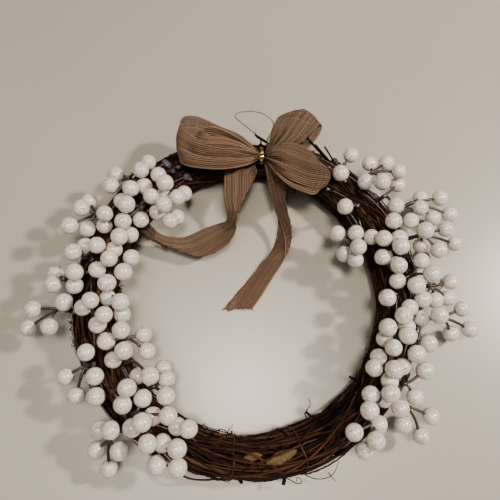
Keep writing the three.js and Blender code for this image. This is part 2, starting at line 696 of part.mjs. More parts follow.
// A round bar along a closed route
function closedBar(route, radius, sides) {
  const rings = barAlong(route, radius, sides, true);
  const positions = rings.flat().flatMap((p) => [p.x, p.y, p.z]);
  const triangles = [];
  for (let i = 0; i < rings.length; i += 1) {
    const a = i * sides;
    const b = ((i + 1) % rings.length) * sides;
    for (let j = 0; j < sides; j += 1) {
      const k = (j + 1) % sides;
      triangles.push(a + j, a + k, b + k, a + j, b + k, b + j);
    }
  }
  return solidOf(positions, triangles);
}

// The bead sits against the outside of the tie
function beadSolid() {
  const angle = BEAD_ANGLE * DEGREE;
  const onTie = new THREE.Vector2(TIE[0] * Math.cos(angle), TIE[1] * Math.sin(angle));
  const outwards = new THREE.Vector2(Math.cos(angle) / TIE[0], Math.sin(angle) / TIE[1]).normalize();
  onTie.addScaledVector(outwards, TIE_RADIUS + CLEARANCE + BEAD_RADIUS);
  return new THREE.SphereGeometry(BEAD_RADIUS, 8, 6).translate(KNOT[0] - 0.5, KNOT[1] + onTie.x,
    KNOT[2] + onTie.y);
}

// The hanger: a stiff wire loop with both ends pushed into the vines
function hangerSolid(extra = 0) {
  const points = HANGER_ROUTE.map(seen);
  const steps = HANGER_STEPS;
  const route = [];
  for (let k = 0; k <= steps; k += 1) {
    route.push(alongCurve(points, k / steps));
  }
  return skin(barAlong(route, HANGER_RADIUS + extra, 4));
}

function glueSolid([x, y, radius], extra = 0) {
  const top = surfaceUnder(x, y);
  const profile = [
    new THREE.Vector2(0, -5 - extra),
    new THREE.Vector2(radius * 0.7 + extra, -5 - extra),
    new THREE.Vector2(radius * 0.8 + extra, 0),
    new THREE.Vector2(radius * 0.8 + extra, 1.6),
    new THREE.Vector2(radius * 0.55 + extra, 3),
    new THREE.Vector2(0, 3.6 + extra),
  ];
  const blob = new THREE.LatheGeometry(profile, 5);
  return outward(mergeVertices(bareCopy(blob.rotateX(Math.PI / 2)), 1e-4)).translate(top.x, top.y, top.z);
}

function bareCopy(geometry) {
  const bare = geometry.clone();
  bare.deleteAttribute('normal');
  bare.deleteAttribute('uv');
  return bare;
}

// The top of the vines where x, y is seen
function surfaceUnder(x, y) {
  let p = seen([x, y, RING_HEIGHT + BUNDLE_RADIUS]);
  for (let k = 0; k < 8; k += 1) {
    const away = Math.hypot(p.x, p.y) - RING_RADIUS;
    const rise = Math.sqrt(Math.max(BUNDLE_RADIUS ** 2 - away ** 2, 1));
    p = seen([x, y, RING_HEIGHT + rise]);
  }
  return p;
}

// A dry leaf scrap: a thin arched blade on a short foot that is pushed between the vines
function leafParts({ foot, tip, width, height }) {
  const start = seen([foot[0], foot[1], height - 1]);
  const end = seen([tip[0], tip[1], height]);
  const line = end.clone().sub(start);
  const side = new THREE.Vector3(-line.y, line.x, 0).normalize();
  const rows = [];
  const steps = 6;
  for (let i = 0; i <= steps; i += 1) {
    const t = i / steps;
    const half = width * 0.5 * Math.sin(Math.PI * Math.min(t * 0.94 + 0.05, 1)) ** 0.8;
    const row = [];
    for (let j = 0; j <= 2; j += 1) {
      const s = j - 1;
      const arch = 1.2 * (1 - s * s) + 1.2 * Math.sin(Math.PI * t) + 0.3 * Math.sin(9 * t + 2 * s);
      const place = start.clone().addScaledVector(line, t).addScaledVector(side, half * s);
      place.z += arch;
      row.push(place);
    }
    rows.push(row);
  }
  const blade = thicken(rows, LEAF_THICKNESS);
  const top = start.clone().add(new THREE.Vector3(0, 0, 1)).addScaledVector(line, 0.06);
  const bottom = onCentreLine(start).lerp(start, 0.62);
  return { blade, top, bottom };
}

function leafSolid(leaf) {
  const { blade, top, bottom } = leafParts(leaf);
  return largestBody(join([blade, bar(bottom, top, LEAF_THICKNESS, 4)]));
}

function leafSocket(leaf) {
  const { top, bottom } = leafParts(leaf);
  const way = top.clone().sub(bottom).normalize();
  return bar(bottom.clone().addScaledVector(way, -CLEARANCE), top, LEAF_THICKNESS + CLEARANCE * 1.5, 4);
}

// Binding wire: one wrap round the bundle, in a groove that it has pressed
function wrapSolid(ringAngle, extra = 0) {
  const route = [];
  const count = 12;
  for (let k = 0; k < count; k += 1) {
    const around = (360 * k) / count;
    const p = inBundle(ringAngle + 1.5 * Math.sin(around * DEGREE), around, BUNDLE_RADIUS - 0.2);
    p.z = Math.max(p.z, 0.9);
    route.push(p);
  }
  return closedBar(route, BINDING_RADIUS + extra, 3);
}

// Materials
function finish(color, roughness, metalness = 0) {
  return new THREE.MeshStandardMaterial({ color, roughness, metalness });
}

const VINE = finish(0x3a2018, 0.8);
const BERRY = finish(0xe9e2d8, 0.32);
const RIBBON_CLOTH = finish(0x8a6448, 0.85);
const GOLD = finish(0xc9a545, 0.25, 1);
const OLIVE_WIRE = finish(0x6f6a3c, 0.45, 0.6);
const GLUE = finish(0x8f97a8, 0.15);
const DRY_LEAF = finish(0x8a6a2c, 0.8);
const DARK_WIRE = finish(0x2a1a14, 0.6);

// The wreath
const sprigs = settledSprigs();
const cuts = [
  ...sprigs.map(socketOf),
  ...GLUE_SPOTS.map((spot) => glueSolid(spot, CLEARANCE)),
  ...LEAVES.map(leafSocket),
  ...BINDING_ANGLES.map((angle) => wrapSolid(angle, CLEARANCE * 2)),
  hangerSolid(CLEARANCE * 1.3),
  tieSolid(CLEARANCE * 1.3),
];

const wreath = new THREE.Group();
wreath.position.set(-MIDDLE[0], -MIDDLE[1], 0);

function addPiece(name, geometry, material) {
  geometry.computeVertexNormals();
  const mesh = new THREE.Mesh(geometry, material);
  mesh.name = name;
  wreath.add(mesh);
}

addPiece('vine_ring', toGeometry(vineRing(cuts)), VINE);
for (const sprig of sprigs) {
  addPiece(`berry_sprig_${sprig.name}`, toGeometry(sprigSolid(sprig)), BERRY);
}
addPiece('ribbon_bow', toGeometry(bowSolid()), RIBBON_CLOTH);
addPiece('tie_wire', tieSolid(), GOLD);
addPiece('gold_bead', beadSolid(), GOLD);
addPiece('hanger_loop', hangerSolid(), OLIVE_WIRE);
GLUE_SPOTS.forEach((spot, k) => addPiece(`glue_blob_${k + 1}`, glueSolid(spot), GLUE));
LEAVES.forEach((leaf, k) => addPiece(`dry_leaf_${k + 1}`, toGeometry(leafSolid(leaf)), DRY_LEAF));
BINDING_ANGLES.forEach((angle, k) => addPiece(`binding_wire_${k + 1}`, wrapSolid(angle), DARK_WIRE));

export default wreath;
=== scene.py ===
# Door wreath: fine wound vines, white berries on wire stalks, a woven ribbon bow, wires, glue and dry leaf
# scraps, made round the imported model. Places are millimetres from the middle of the vine ring, as in the
# model's source, until a mesh is made. A mesh is in metres, in the part's frame.
import math

import bpy
import numpy as np
from mathutils import Matrix, Vector


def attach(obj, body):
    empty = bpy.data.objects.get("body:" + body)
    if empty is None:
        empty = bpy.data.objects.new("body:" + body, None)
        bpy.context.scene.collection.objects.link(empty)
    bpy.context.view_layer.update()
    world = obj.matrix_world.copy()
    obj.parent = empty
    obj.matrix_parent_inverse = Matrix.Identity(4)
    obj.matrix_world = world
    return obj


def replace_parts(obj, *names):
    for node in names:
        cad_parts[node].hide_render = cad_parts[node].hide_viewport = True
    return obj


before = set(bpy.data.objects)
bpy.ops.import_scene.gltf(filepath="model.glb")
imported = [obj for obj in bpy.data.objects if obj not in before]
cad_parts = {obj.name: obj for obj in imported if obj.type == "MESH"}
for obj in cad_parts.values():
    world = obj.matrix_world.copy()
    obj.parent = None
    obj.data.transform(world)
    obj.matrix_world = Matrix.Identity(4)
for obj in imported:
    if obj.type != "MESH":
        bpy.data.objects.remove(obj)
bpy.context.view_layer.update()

# Sizes and places shared with the model
MM = 0.001
RING_RADIUS = 131.0
RING_HEIGHT = 17.0
BUNDLE_RADIUS = 19.0
BERRY_RADIUS = 7.25
BERRY_FACET_RADIUS = 7.7
STALK_RADIUS = 0.8
STEM_RADIUS = 1.2
STEM_REACH = 10.0
BERRY_GAP = 0.9
CLEARANCE = 0.3
BAR_GAP = 0.7
SETTLING_ROUNDS = 160
ROUNDS_A_LIST = 8  # rounds for which one list of neighbours is used
NEAR_ENOUGH = 14.0  # what lies further apart than this can't meet in those rounds
RIBBON_WIDTH = 38.0
KNOT = np.array([12.0, 120.0, 45.0])
TIE = (6.8, 7.8)
TIE_RADIUS = 1.0
BEAD_RADIUS = 3.2
BEAD_ANGLE = math.radians(122)
MIDDLE = np.array([4.4, 11.2, 0.0])
EYE = np.array([-13.5, -75.3, 444.5])
SIGHT_PLANE = 45.0

# Each berry sprig: the place of its hub, the ring angle at which its stem enters the vines, and the
# places of its berries. x and y are as seen from EYE on a plane 45 mm up, and z is true.
SPRIGS = {
    "left_01": ((-102, 99, 45), 135, [(-86, 113, 47), (-92, 105, 58), (-113, 101, 43), (-115, 89, 52),
        (-100, 88, 57), (-88, 91, 48)]),
    "left_02": ((-66, 88, 46), 122, [(-77, 101, 49), (-71, 94, 60), (-60, 81, 48), (-55, 85, 30)]),
    "left_03": ((-72, 66, 40), 137, [(-71, 73, 58), (-77, 69, 44), (-66, 61, 50), (-60, 63, 36),
        (-82, 81, 52)]),
    "left_04": ((-90, 72, 47), 144, [(-103, 72, 61), (-104, 60, 52), (-91, 60, 44), (-108, 80, 49)]),
    "left_05": ((-127, 66, 45), 149, [(-134, 77, 38), (-140, 71, 50), (-118, 65, 57), (-147, 55, 52),
        (-135, 53, 44)]),
    "left_06": ((-107, 39, 47), 157, [(-107, 46, 58), (-99, 51, 43), (-111, 35, 46)]),
    "left_07": ((-134, 28, 46), 166, [(-143, 33, 56), (-135, 37, 46), (-124, 38, 56)]),
    "left_08": ((-106, 21, 44), 172, [(-114, 27, 57), (-96, 28, 46), (-103, 16, 54)]),
    "left_09": ((-149, 10, 42), 176, [(-123, 18, 49), (-141, 15, 58), (-156, 15, 38), (-157, 6, 50),
        (-142, 3, 47)]),
    "left_10": ((-113, -2, 46), 183, [(-114, 7, 57), (-113, -5, 46), (-104, -10, 57), (-101, -18, 44)]),
    "left_11": ((-152, -14, 38), 187, [(-146, -6, 46), (-171, -14, 34), (-157, -28, 44), (-173, -29, 30)]),
    "left_12": ((-124, -16, 47), 190, [(-126, -8, 60), (-132, -13, 48), (-115, -18, 58), (-118, -28, 48)]),
    "left_13": ((-95, -37, 44), 199, [(-101, -31, 54), (-83, -35, 40), (-80, -47, 46), (-112, -40, 48)]),
    "left_14": ((-91, -54, 45), 208, [(-98, -47, 58), (-107, -51, 47), (-86, -66, 42), (-77, -66, 54)]),
    "left_15": ((-73, -74, 40), 221, [(-67, -61, 30), (-64, -69, 42), (-64, -81, 50)]),
    "left_16": ((-127, -58, 46), 205, [(-127, -48, 54), (-141, -66, 40), (-119, -66, 54), (-132, -80, 40),
        (-117, -81, 48)]),
    "left_17": ((-105, -77, 46), 217, [(-94, -75, 58), (-96, -87, 49)]),
    "left_18": ((-86, -93, 48), 226, [(-82, -83, 47), (-62, -95, 56), (-74, -96, 48), (-81, -100, 60),
        (-91, -104, 50)]),
    "left_19": ((-53, -99, 44), 238, [(-47, -106, 57), (-58, -106, 46)]),
    "left_20": ((-105, -112, 38), 227, [(-113, -105, 38), (-102, -105, 52), (-114, -119, 28),
        (-97, -120, 42), (-104, -132, 26)]),
    "left_21": ((-67, -118, 46), 240, [(-75, -115, 58), (-64, -112, 48), (-54, -118, 58), (-69, -130, 50),
        (-54, -132, 48)]),
    "right_01": ((85, 113, 42), 52, [(91, 121, 40), (81, 104, 50)]),
    "right_02": ((109, 105, 42), 45, [(107, 113, 38), (122, 114, 32), (132, 105, 42), (103, 96, 48),
        (116, 96, 56)]),
    "right_03": ((118, 83, 43), 37, [(130, 94, 30), (127, 74, 46)]),
    "right_04": ((142, 77, 34), 31, [(149, 81, 26), (148, 72, 40), (166, 81, 28), (173, 66, 24),
        (158, 63, 28)]),
    "right_05": ((94, 74, 44), 39, [(83, 73, 49)]),
    "right_06": ((86, 44, 38), 25, [(76, 49, 42), (91, 49, 46), (92, 37, 55), (89, 26, 42), (80, 31, 30)]),
    "right_07": ((130, 62, 44), 27, [(139, 60, 46), (124, 59, 52)]),
    "right_08": ((147, 48, 40), 21, [(150, 52, 52), (168, 53, 36), (174, 40, 26), (158, 35, 36),
        (147, 38, 30)]),
    "right_09": ((117, 42, 46), 17, [(103, 46, 43), (114, 44, 54), (127, 46, 48), (127, 37, 60)]),
    "right_10": ((137, 14, 45), 8, [(149, 12, 56), (144, 25, 44), (138, 5, 52), (126, 7, 48)]),
    "right_11": ((118, 18, 47), 11, [(113, 28, 52), (124, 23, 58)]),
    "right_12": ((150, 4, 38), 3, [(166, 7, 36), (163, -7, 26), (155, 6, 24), (141, -7, 46)]),
    "right_13": ((120, -3, 46), 358, [(113, -6, 50)]),
    "right_14": ((135, -22, 45), 353, [(131, -14, 50), (125, -21, 60), (139, -21, 42)]),
    "right_15": ((157, -22, 36), 350, [(151, -21, 52), (173, -15, 34), (177, -32, 24), (163, -35, 20)]),
    "right_16": ((135, -39, 44), 343, [(126, -38, 56), (131, -50, 56), (143, -43, 42), (127, -30, 46)]),
    "right_17": ((118, -36, 46), 340, [(112, -31, 56), (108, -39, 45), (116, -45, 58)]),
    "right_18": ((110, -59, 46), 332, [(102, -53, 45), (99, -61, 54), (113, -63, 62), (121, -60, 50)]),
    "right_19": ((122, -74, 42), 327, [(138, -64, 42), (128, -84, 40)]),
    "right_20": ((122, -90, 38), 322, [(139, -98, 28), (130, -112, 26), (116, -92, 48), (117, -104, 34)]),
    "right_21": ((102, -84, 46), 320, [(109, -81, 56), (94, -82, 49), (92, -93, 58)]),
    "right_22": ((94, -103, 45), 312, [(79, -109, 52), (95, -115, 52), (98, -104, 44), (86, -122, 42)]),
}

BERRY_SEGMENTS = 24
BERRY_LATITUDES = [-83, -72, -60, -48, -36, -24, -12, 0, 12, 24, 36, 48, 60, 70, 78, 84]
BERRY_SIZES = (0.915, 1.0)  # shares of BERRY_RADIUS, least and most
DIMPLED = 0.55  # shares of the berries that have a dimple, a dark stalk point, pin holes
SPOTTED = 0.45
PIN_HOLED = 0.2
DIMPLE_DEPTH = 0.25
STALK_END = 0.6  # how far a stalk reaches into its berry
WRAPPED = 1.52  # how much thicker the paper makes a wire

# Layers of vines from the inside of the bundle out: distance from its middle, how many vines, how far they
# wind round it in one turn of the ring, their radius, and the sides of a vine
LAYERS = [
    (7.0, 10, 240, 1.9, 4), (10.6, 18, -260, 1.6, 5), (13.3, 26, 230, 1.3, 5), (15.6, 24, -200, 1.0, 5),
]
OUTER_VINES = 215
OUTER_DEPTH = 17.4
OUTER_RADIUS = 0.72
CROSSING_VINES = 120  # thin ones that cross over the outer ones
RAGGED_VINES = 36  # short ones with loose ends, beside the right loops of the bow
HANGING_VINES = 18
STICKS = 45
SHOOTS = 230
CURLS = 60
BARK_STRIPS = 120
VINE_NODES = (6.0, 21.0)  # degrees of the ring between two nodes of a vine, least and most
NODE_REACH = 0.9  # degrees over which a vine swells beside a node
REST_GAP = 0.05  # between a vine and the surface that it rests on
GRAIN_SPREAD = 900  # the grain of a strand starts anywhere in a cube of this size

# The bundle is thinner on one side, and more so in one part of the ring: the angle round the bundle or the
# ring angle, its reach, how much
SLACK_SIDE = (-12.0, 42.0, 2.6)
LOOSE_PART = (265.0, 36.0, 9.5)
# The bow squeezes it: ring angle and its reach, angle round the bundle and its reach, how much
PINCH = (86.0, 7.0, 15.0, 62.0, 9.5)
TANGLE = (190.0, 8.0)  # dry tendrils stand thick round this ring angle: the angle and its reach
RAGGED = (46.0, 14.0)  # loose ends stand out round this ring angle

# Loose vines: first and last ring angle, angle round the bundle at each end, lift, radius
LOOSE_VINES = [
    (196, 300, 70, 150, 1.6, 1.9), (236, 330, 120, 40, 2.0, 1.7), (246, 352, 20, 80, 2.2, 1.8),
    (258, 305, 150, 200, 1.8, 1.4), (300, 392, 100, 160, 1.6, 1.7), (20, 118, 60, 130, 1.8, 1.9),
    (44, 108, 150, 95, 2.0, 1.5), (92, 168, 70, 20, 2.0, 1.8), (128, 232, 150, 110, 1.4, 1.8),
    (24, 66, 168, 196, 2.2, 1.4), (36, 62, 205, 172, 3.0, 1.2),
]

# Berries that show only an edge behind others: the sprig that each belongs to, and its place
HIDDEN_BERRIES = [
    ("left_02", (-71, 83, 41)), ("left_05", (-120, 58, 48)), ("right_11", (122, 20, 48)),
    ("right_12", (152, -8, 32)), ("right_18", (113, -69, 48)), ("right_21", (107, -75, 47)),
]

# Thin vines at the foot of the wreath: two lie over the leaf scraps, and the others hang away from the
# bundle. Each is a list of places.
STRAY_VINES = [
    [(-10, -135, 31), (2, -131, 37), (13, -127, 41), (24, -123, 43), (34, -119, 41), (50, -113, 35)],
    [(-20, -119, 34), (-8, -121, 37), (1, -124, 40), (8, -127, 39.5), (20, -134, 33)],
    [(-60, -122, 20), (-46, -131, 10), (-32, -138, 8), (-18, -141, 9), (-4, -137, 16)],
    [(-44, -130, 22), (-30, -135, 14), (-14, -139, 10), (4, -142, 11), (20, -141, 18)],
    [(-24, -130, 30), (-8, -136, 22), (8, -140, 14), (28, -139, 13), (46, -133, 20)],
    [(30, -137, 24), (44, -137, 14), (60, -131, 11), (74, -122, 18)],
]

# Cut twig ends: ring angle and angle round the bundle of the foot, place of the tip, radius
TWIGS = [
    (78, 60, (7, 140, 44), 1.1), (52, 30, (53, 137.5, 50), 1.3), (50, 20, (68, 129, 40), 0.9),
    (281, 10, (24, -145, 20), 1.4), (262, 5, (-6, -143, 22), 1.3), (286, 165, (21, -106, 40), 1.0),
    (80, 75, (11, 130, 43), 2.0), (51, 45, (60, 131, 46), 0.9),
    (300, 160, (43, -94, 42), 1.0), (322, 175, (78, -68, 34), 0.9),
]

# Tendrils and thin curls, each a list of places
TENDRILS = [
    [(-46, -106, 34), (-40, -102, 38), (-37, -103, 40), (-35, -105, 40), (-34, -107, 38), (-33, -104, 40),
     (-32, -106, 38)],
    [(-30, -112, 34), (-27, -108, 40), (-24, -106, 42), (-20, -106, 43), (-17, -108, 42), (-13, -111, 38)],
    [(-18, -111, 36), (-17, -108, 41), (-16, -106, 43), (-14, -104, 44), (-13, -102, 45)],
    [(43, -98, 42), (42, -95, 45), (44, -92, 47), (46, -89, 48), (46, -86, 48), (45, -84, 47)],
    [(26, -140, 24), (30, -142, 23), (34, -144, 22), (37, -144, 22), (37, -141, 24), (34, -140, 25),
     (34, -143, 23)],
    [(38, -136, 26), (42, -139, 22), (48, -141, 19), (54, -141, 18), (60, -139, 20), (64, -134, 24),
     (66, -129, 28)],
    [(58, -137, 22), (61, -141, 18), (63, -143, 17)],
    [(-37, -134, 26), (-32, -137, 22), (-27, -139, 20), (-21, -141, 18), (-15, -143, 18)],
    [(62, -104, 42), (65, -99, 45), (70, -96, 46), (74, -97, 44)],
    [(-52, -128, 24), (-46, -134, 19), (-38, -137, 18), (-33, -135, 20)],
]

# Ribbon: each stretch has stations, which are the places of its two edges, the side that it bulges to (1 is
# along its normal), the shares of its width at which it is creased, and how it lies: a loop starts behind
# and ends in front, and a tail hangs from the knot.
RIBBON = {
    "left_outer": ([(11, 122, 43, 11, 117, 43), (-6, 139, 40, -6, 113, 42), (-25, 148, 41, -26, 113, 43),
        (-44, 157, 43, -46, 117, 45), (-56, 157, 47, -57, 117, 50), (-59, 149, 55, -58, 113, 57),
        (-46, 137, 60, -48, 109, 60), (-25, 129, 58, -25, 107, 58), (-7, 127, 55, -5, 110, 55),
        (11, 122, 49, 11, 117, 49)], -1, [0.54], "loop"),
    "left_inner": ([(11, 121, 45, 11, 118, 45), (-5, 135, 46, -6, 118, 46), (-22, 145, 47, -22, 117, 48),
        (-33, 148, 49, -33, 116, 50), (-38, 145, 52, -39, 114, 53), (-34, 139, 55, -34, 112, 55),
        (-21, 137, 55, -20, 113, 55), (-6, 132, 52, -5, 113, 52), (11, 121, 47, 11, 118, 47)], -1, [],
        "loop"),
    "right_upper": ([(15, 121, 44, 15, 118, 44), (21, 136, 43, 45, 122, 46), (25, 149, 42, 60, 136, 46),
        (31, 159, 45, 66, 147, 47), (34, 161.5, 52, 65, 152, 51), (28, 157.5, 56, 61.5, 149, 54),
        (23, 148, 55, 55, 142, 54), (20, 136, 52, 44, 131, 52), (15, 121, 47, 15, 118, 47)], 1, [], "loop"),
    "right_lower": ([(15, 121, 42, 15, 118, 42), (27, 119, 40, 22, 103, 41), (45, 118, 41, 36, 95, 43),
        (57, 114, 44, 53, 87, 46), (62, 115, 52, 60, 86.5, 53), (59, 120, 59, 55, 84, 58),
        (50, 128, 61, 44, 88, 61), (38, 132, 60, 33, 94, 59), (24, 130, 55, 23, 105, 54),
        (15, 121, 48, 15, 118, 48)], 1, [0.88], "loop"),
    "tail_left": ([(9, 119, 44, 11, 117, 44), (-8, 113, 42, 11, 111, 44), (-18.5, 106, 41, 9.5, 104, 43),
        (-20, 92, 38, 3.5, 92, 42), (-20, 81, 34, -2.6, 81, 41), (-17.5, 69, 28, -9, 69, 39),
        (-18.5, 60, 22, -11, 58, 37), (-26, 57.5, 18, -11.5, 50, 33), (-40, 53.5, 18, -20, 37, 24),
        (-54, 48.5, 19, -38, 28.5, 20), (-66, 48, 21, -56, 33, 21), (-76, 51.5, 24, -73, 41, 25),
        (-84, 61, 28, -88, 51, 31)], -1, [], "tail"),
    "tail_right": ([(14, 116, 42, 16, 116, 42), (16, 107, 40, 32, 105, 43), (18, 92.5, 32, 33, 92.5, 43),
        (21, 79, 28, 31, 79, 39), (21.4, 68, 21, 33, 68, 34), (21.8, 57, 15, 35.4, 57, 29),
        (20.5, 46, 10, 36, 46, 24), (16, 34, 7, 33.5, 35, 19), (8.6, 25, 6, 27, 24, 15),
        (-2.5, 9.5, 5, 18, 10, 11), (-13, -3.5, 4, 9.5, -4, 8), (-21, -14.5, 3, 3, -13.5, 5)], -1, [],
        "tail"),
}

TAIL_FRAY = {"tail_right": 3.4, "tail_left": 1.5}
WARP_COUNT = 22  # yarns along the ribbon, between its woven edges
WEFT_PITCH = 1.24
WARP_YARN = 0.7  # half widths of the yarns
WEFT_YARN = 0.67
YARN_FLAT = 0.4  # how far a yarn is pressed flat
WEAVE_DEPTH = 0.03
PROFILE_STEPS = 90
EDGE_INSET = 0.034
EDGE_SHARES = (0.0, 0.015)  # the two close yarns at each edge
PLEAT_REACH = 15.0  # the pleats of the knot fade out over this distance
PLEATS = (2.4, 3.7, 5.2)  # waves across the ribbon
PLY_GAP = 1.9  # between the plies of a tail that is folded along its length
# From and to where along a tail its folds slide across, and by how many plies
FOLD_SLIDE = {"tail_right": (40.0, 97.0, 1.0), "tail_left": (50.0, 130.0, 0.2)}
CREASE_DEPTH = 1.5
CREASE_FADE = 20.0  # a crease runs out over this distance from the end of the loop

HANGER_ROUTE = [
    (15, 128, 30), (17, 132, 38), (19.5, 139, 40), (21.8, 145, 41), (23.2, 151, 41), (20.3, 156.5, 41),
    (13.2, 161.4, 41), (4.2, 163.4, 40), (-4.8, 162.8, 39), (-10.6, 160.5, 38), (-10.4, 157, 38),
    (-6, 152.5, 39), (0.5, 146.9, 40), (9.3, 138.1, 40), (11.5, 134, 38), (11, 129, 30),
]

# Lumps of glue and small bits of it, each with the place where it is seen and its radius, and strings of it
# drawn out between the lumps and the stalks
GLUE_SPOTS = [(-70, 112, 5.0), (-52, 100, 4.5), (66, 119, 3.6), (76, 115, 4.2)]
EXTRA_GLUE = [
    (-65, 105, 2.6), (-60, 109, 2.0), (59, 124, 2.2), (70, 109, 2.2), (69, 89, 2.0), (-80, 100, 2.0),
    (84, 97, 2.2), (97, 88, 1.8),
]
GLUE_STRINGS = [
    ((-70, 112, 38), (-86, 104, 44)), ((-52, 100, 38), (-62, 90, 45)), ((76, 115, 34), (84, 106, 44)),
    ((66, 119, 34), (76, 115, 36)), ((-65, 105, 37), (-52, 100, 38)),
]

# Leaf scraps: places of foot and tip, width, height
LEAVES = [((-5, -126), (9, -124), 6, 36.9), ((12, -130), (35, -121), 9, 39)]
BINDING_ANGLES = [263, 287]


# Places
def seen(place):
    """The true place of a point seen at x, y on the sight plane and lying at the height z."""
    x, y, z = place
    reach = (EYE[2] - z) / (EYE[2] - SIGHT_PLANE)
    return np.array([EYE[0] + (x - EYE[0]) * reach, EYE[1] + (y - EYE[1]) * reach, z])


def in_bundle(ring_angle, around, distance):
    """Places in the bundle: ring angle, angle round the bundle (0 outwards, 90 up), distance from its
    middle."""
    a = np.radians(np.asarray(ring_angle, float))
    b = np.radians(np.asarray(around, float))
    r = RING_RADIUS + distance * np.cos(b)
    return np.stack([r * np.cos(a), r * np.sin(a), RING_HEIGHT + distance * np.sin(b)], -1)


def on_centre_line(p):
    r = math.hypot(p[0], p[1])
    return p[0] * RING_RADIUS / r, p[1] * RING_RADIUS / r, RING_HEIGHT


def unit(v):
    return v / np.maximum(np.linalg.norm(v, axis=-1, keepdims=True), 1e-9)


def any_across(way):
    """A direction across another."""
    return np.cross(way, (0.0, 0.0, 1.0) if abs(way[2]) < 0.9 else (1.0, 0.0, 0.0))


def run_along(points):
    """How far along a route each of its points lies."""
    return np.concatenate([[0], np.cumsum(np.linalg.norm(np.diff(points, axis=0), axis=1))])


def along_curve(points, turns):
    """Places on a smooth curve through the points; turns run from 0 to 1."""
    points = np.asarray(points, float)
    last = len(points) - 1
    k = np.minimum((turns * last).astype(int), last - 1)
    t = (turns * last - k)[:, None]
    a, b, c, d = (points[np.clip(k + n, 0, last)] for n in (-1, 0, 1, 2))
    return b + 0.5 * ((c - a) * t + (2 * a - 5 * b + 4 * c - d) * t**2 + (3 * b - a - 3 * c + d) * t**3)


def evenly(places, step):
    """A route in even steps along a smooth curve through the places, which are as seen."""
    points = [seen(place) for place in places]
    fine = along_curve(points, np.linspace(0, 1, 40 * len(points)))
    run = run_along(fine)
    stops = np.linspace(0, run[-1], max(2, round(run[-1] / step) + 1))
    return np.stack([np.interp(stops, run, fine[:, n]) for n in range(3)], -1)


def bent(a, b, sag, steps):
    """A route from a to b that bows out by sag in the middle."""
    t = np.linspace(0, 1, steps + 1)[:, None]
    return np.array(a) * (1 - t) + np.array(b) * t + np.array(sag) * (4 * t * (1 - t))


def held_up(route, least):
    """The route, raised to the least height where it lies lower, so that nothing sinks below the wreath."""
    route[..., 2] = np.maximum(route[..., 2], least)
    return route


def smoothed(values, reach):
    count = 2 * reach + 1
    return np.convolve(np.pad(values, reach, mode="edge"), np.ones(count) / count, mode="valid")


# Meshes
class Shape:
    """The corners, faces and marks of one piece. A mark is a number or a vector at each corner."""

    def __init__(self):
        self.places = []
        self.faces = []
        self.marks = {}
        self.count = 0

    def add(self, places, faces, **marks):
        places = np.asarray(places, float).reshape(-1, 3)
        for face in faces:
            self.faces.append([int(corner) + self.count for corner in face])
        for name, values in marks.items():
            values = np.asarray(values, float)
            if values.ndim == 0:
                values = np.full(len(places), float(values))
            self.marks.setdefault(name, []).append(values.reshape(len(places), -1))
        self.places.append(places)
        self.count += len(places)


def placed(name, data):
    """A new object in the scene."""
    made = bpy.data.objects.new(name, data)
    bpy.context.scene.collection.objects.link(made)
    return made


def make_piece(name, shape, material):
    mesh = bpy.data.meshes.new(name)
    places = (np.concatenate(shape.places) - MIDDLE) * MM
    mesh.from_pydata(places.tolist(), [], shape.faces)
    for mark, values in shape.marks.items():
        values = np.concatenate(values)
        kind, field = ("FLOAT", "value") if values.shape[1] == 1 else ("FLOAT_VECTOR", "vector")
        mesh.attributes.new(mark, kind, "POINT").data.foreach_set(field, values.ravel())
    mesh.polygons.foreach_set("use_smooth", [True] * len(mesh.polygons))
    mesh.materials.append(material)
    mesh.validate()
    mesh.update()
    piece = placed(name, mesh)
    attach(piece, "root")
    return piece


def bands(rings, around, first=0, closed=False):
    """The faces between rings of corners, which lie one after the other and have the same count."""
    i, j = np.ogrid[:rings if closed else rings - 1, :around]
    low, high, after = i * around, (i + 1) % rings * around, (j + 1) % around
    corners = np.broadcast_arrays(low + j, low + after, high + after, high + j)
    return (np.stack(corners, -1).reshape(-1, 4) + first).tolist()


def carried(route):
    """Two directions across a route at each of its places, carried along it without twist."""
    tangent = unit(np.gradient(route, axis=0))
    u = any_across(tangent[0])
    sides = []
    for t in tangent:
        u = u - t * np.dot(u, t)
        u = u / max(np.linalg.norm(u), 1e-9)
        sides.append(u)
    sides = np.array(sides)
    return sides, np.cross(tangent, sides)


def tube(shape, route, radius, sides, reference=None, flat=1.0, closed=False, turn=0.0, grain=None, **marks):
    """Adds a round bar along a route. flat squeezes it in the direction that reference points in."""
    route = np.asarray(route, float)
    count = len(route)
    radius = np.broadcast_to(np.asarray(radius, float), (count,))
    if reference is None:
        v, u = carried(route)
    else:
        along = np.roll(route, -1, 0) - np.roll(route, 1, 0) if closed else np.gradient(route, axis=0)
        tangent = unit(along)
        v = unit(reference - tangent * (reference * tangent).sum(1, keepdims=True))
        u = np.cross(tangent, v)
    angle = 2 * np.pi * (np.arange(sides) + turn) / sides
    ring = u[:, None, :] * np.cos(angle)[None, :, None] + v[:, None, :] * flat * np.sin(angle)[None, :, None]
    faces = bands(count, sides, closed=closed)
    if not closed:
        faces.append(list(range(sides - 1, -1, -1)))
        faces.append(list(range((count - 1) * sides, count * sides)))
    for name, values in marks.items():
        if np.ndim(values) == 1:
            marks[name] = np.repeat(values, sides)
    if grain is not None:
        across = np.stack([np.cos(angle), np.sin(angle)], -1)[None] * radius[:, None, None]
        length = np.broadcast_to(run_along(route)[:, None, None], (count, sides, 1))
        marks["grain"] = (np.concatenate([across, length], 2) + np.asarray(grain)).reshape(-1, 3)
    shape.add(route[:, None, :] + ring * radius[:, None, None], faces, **marks)


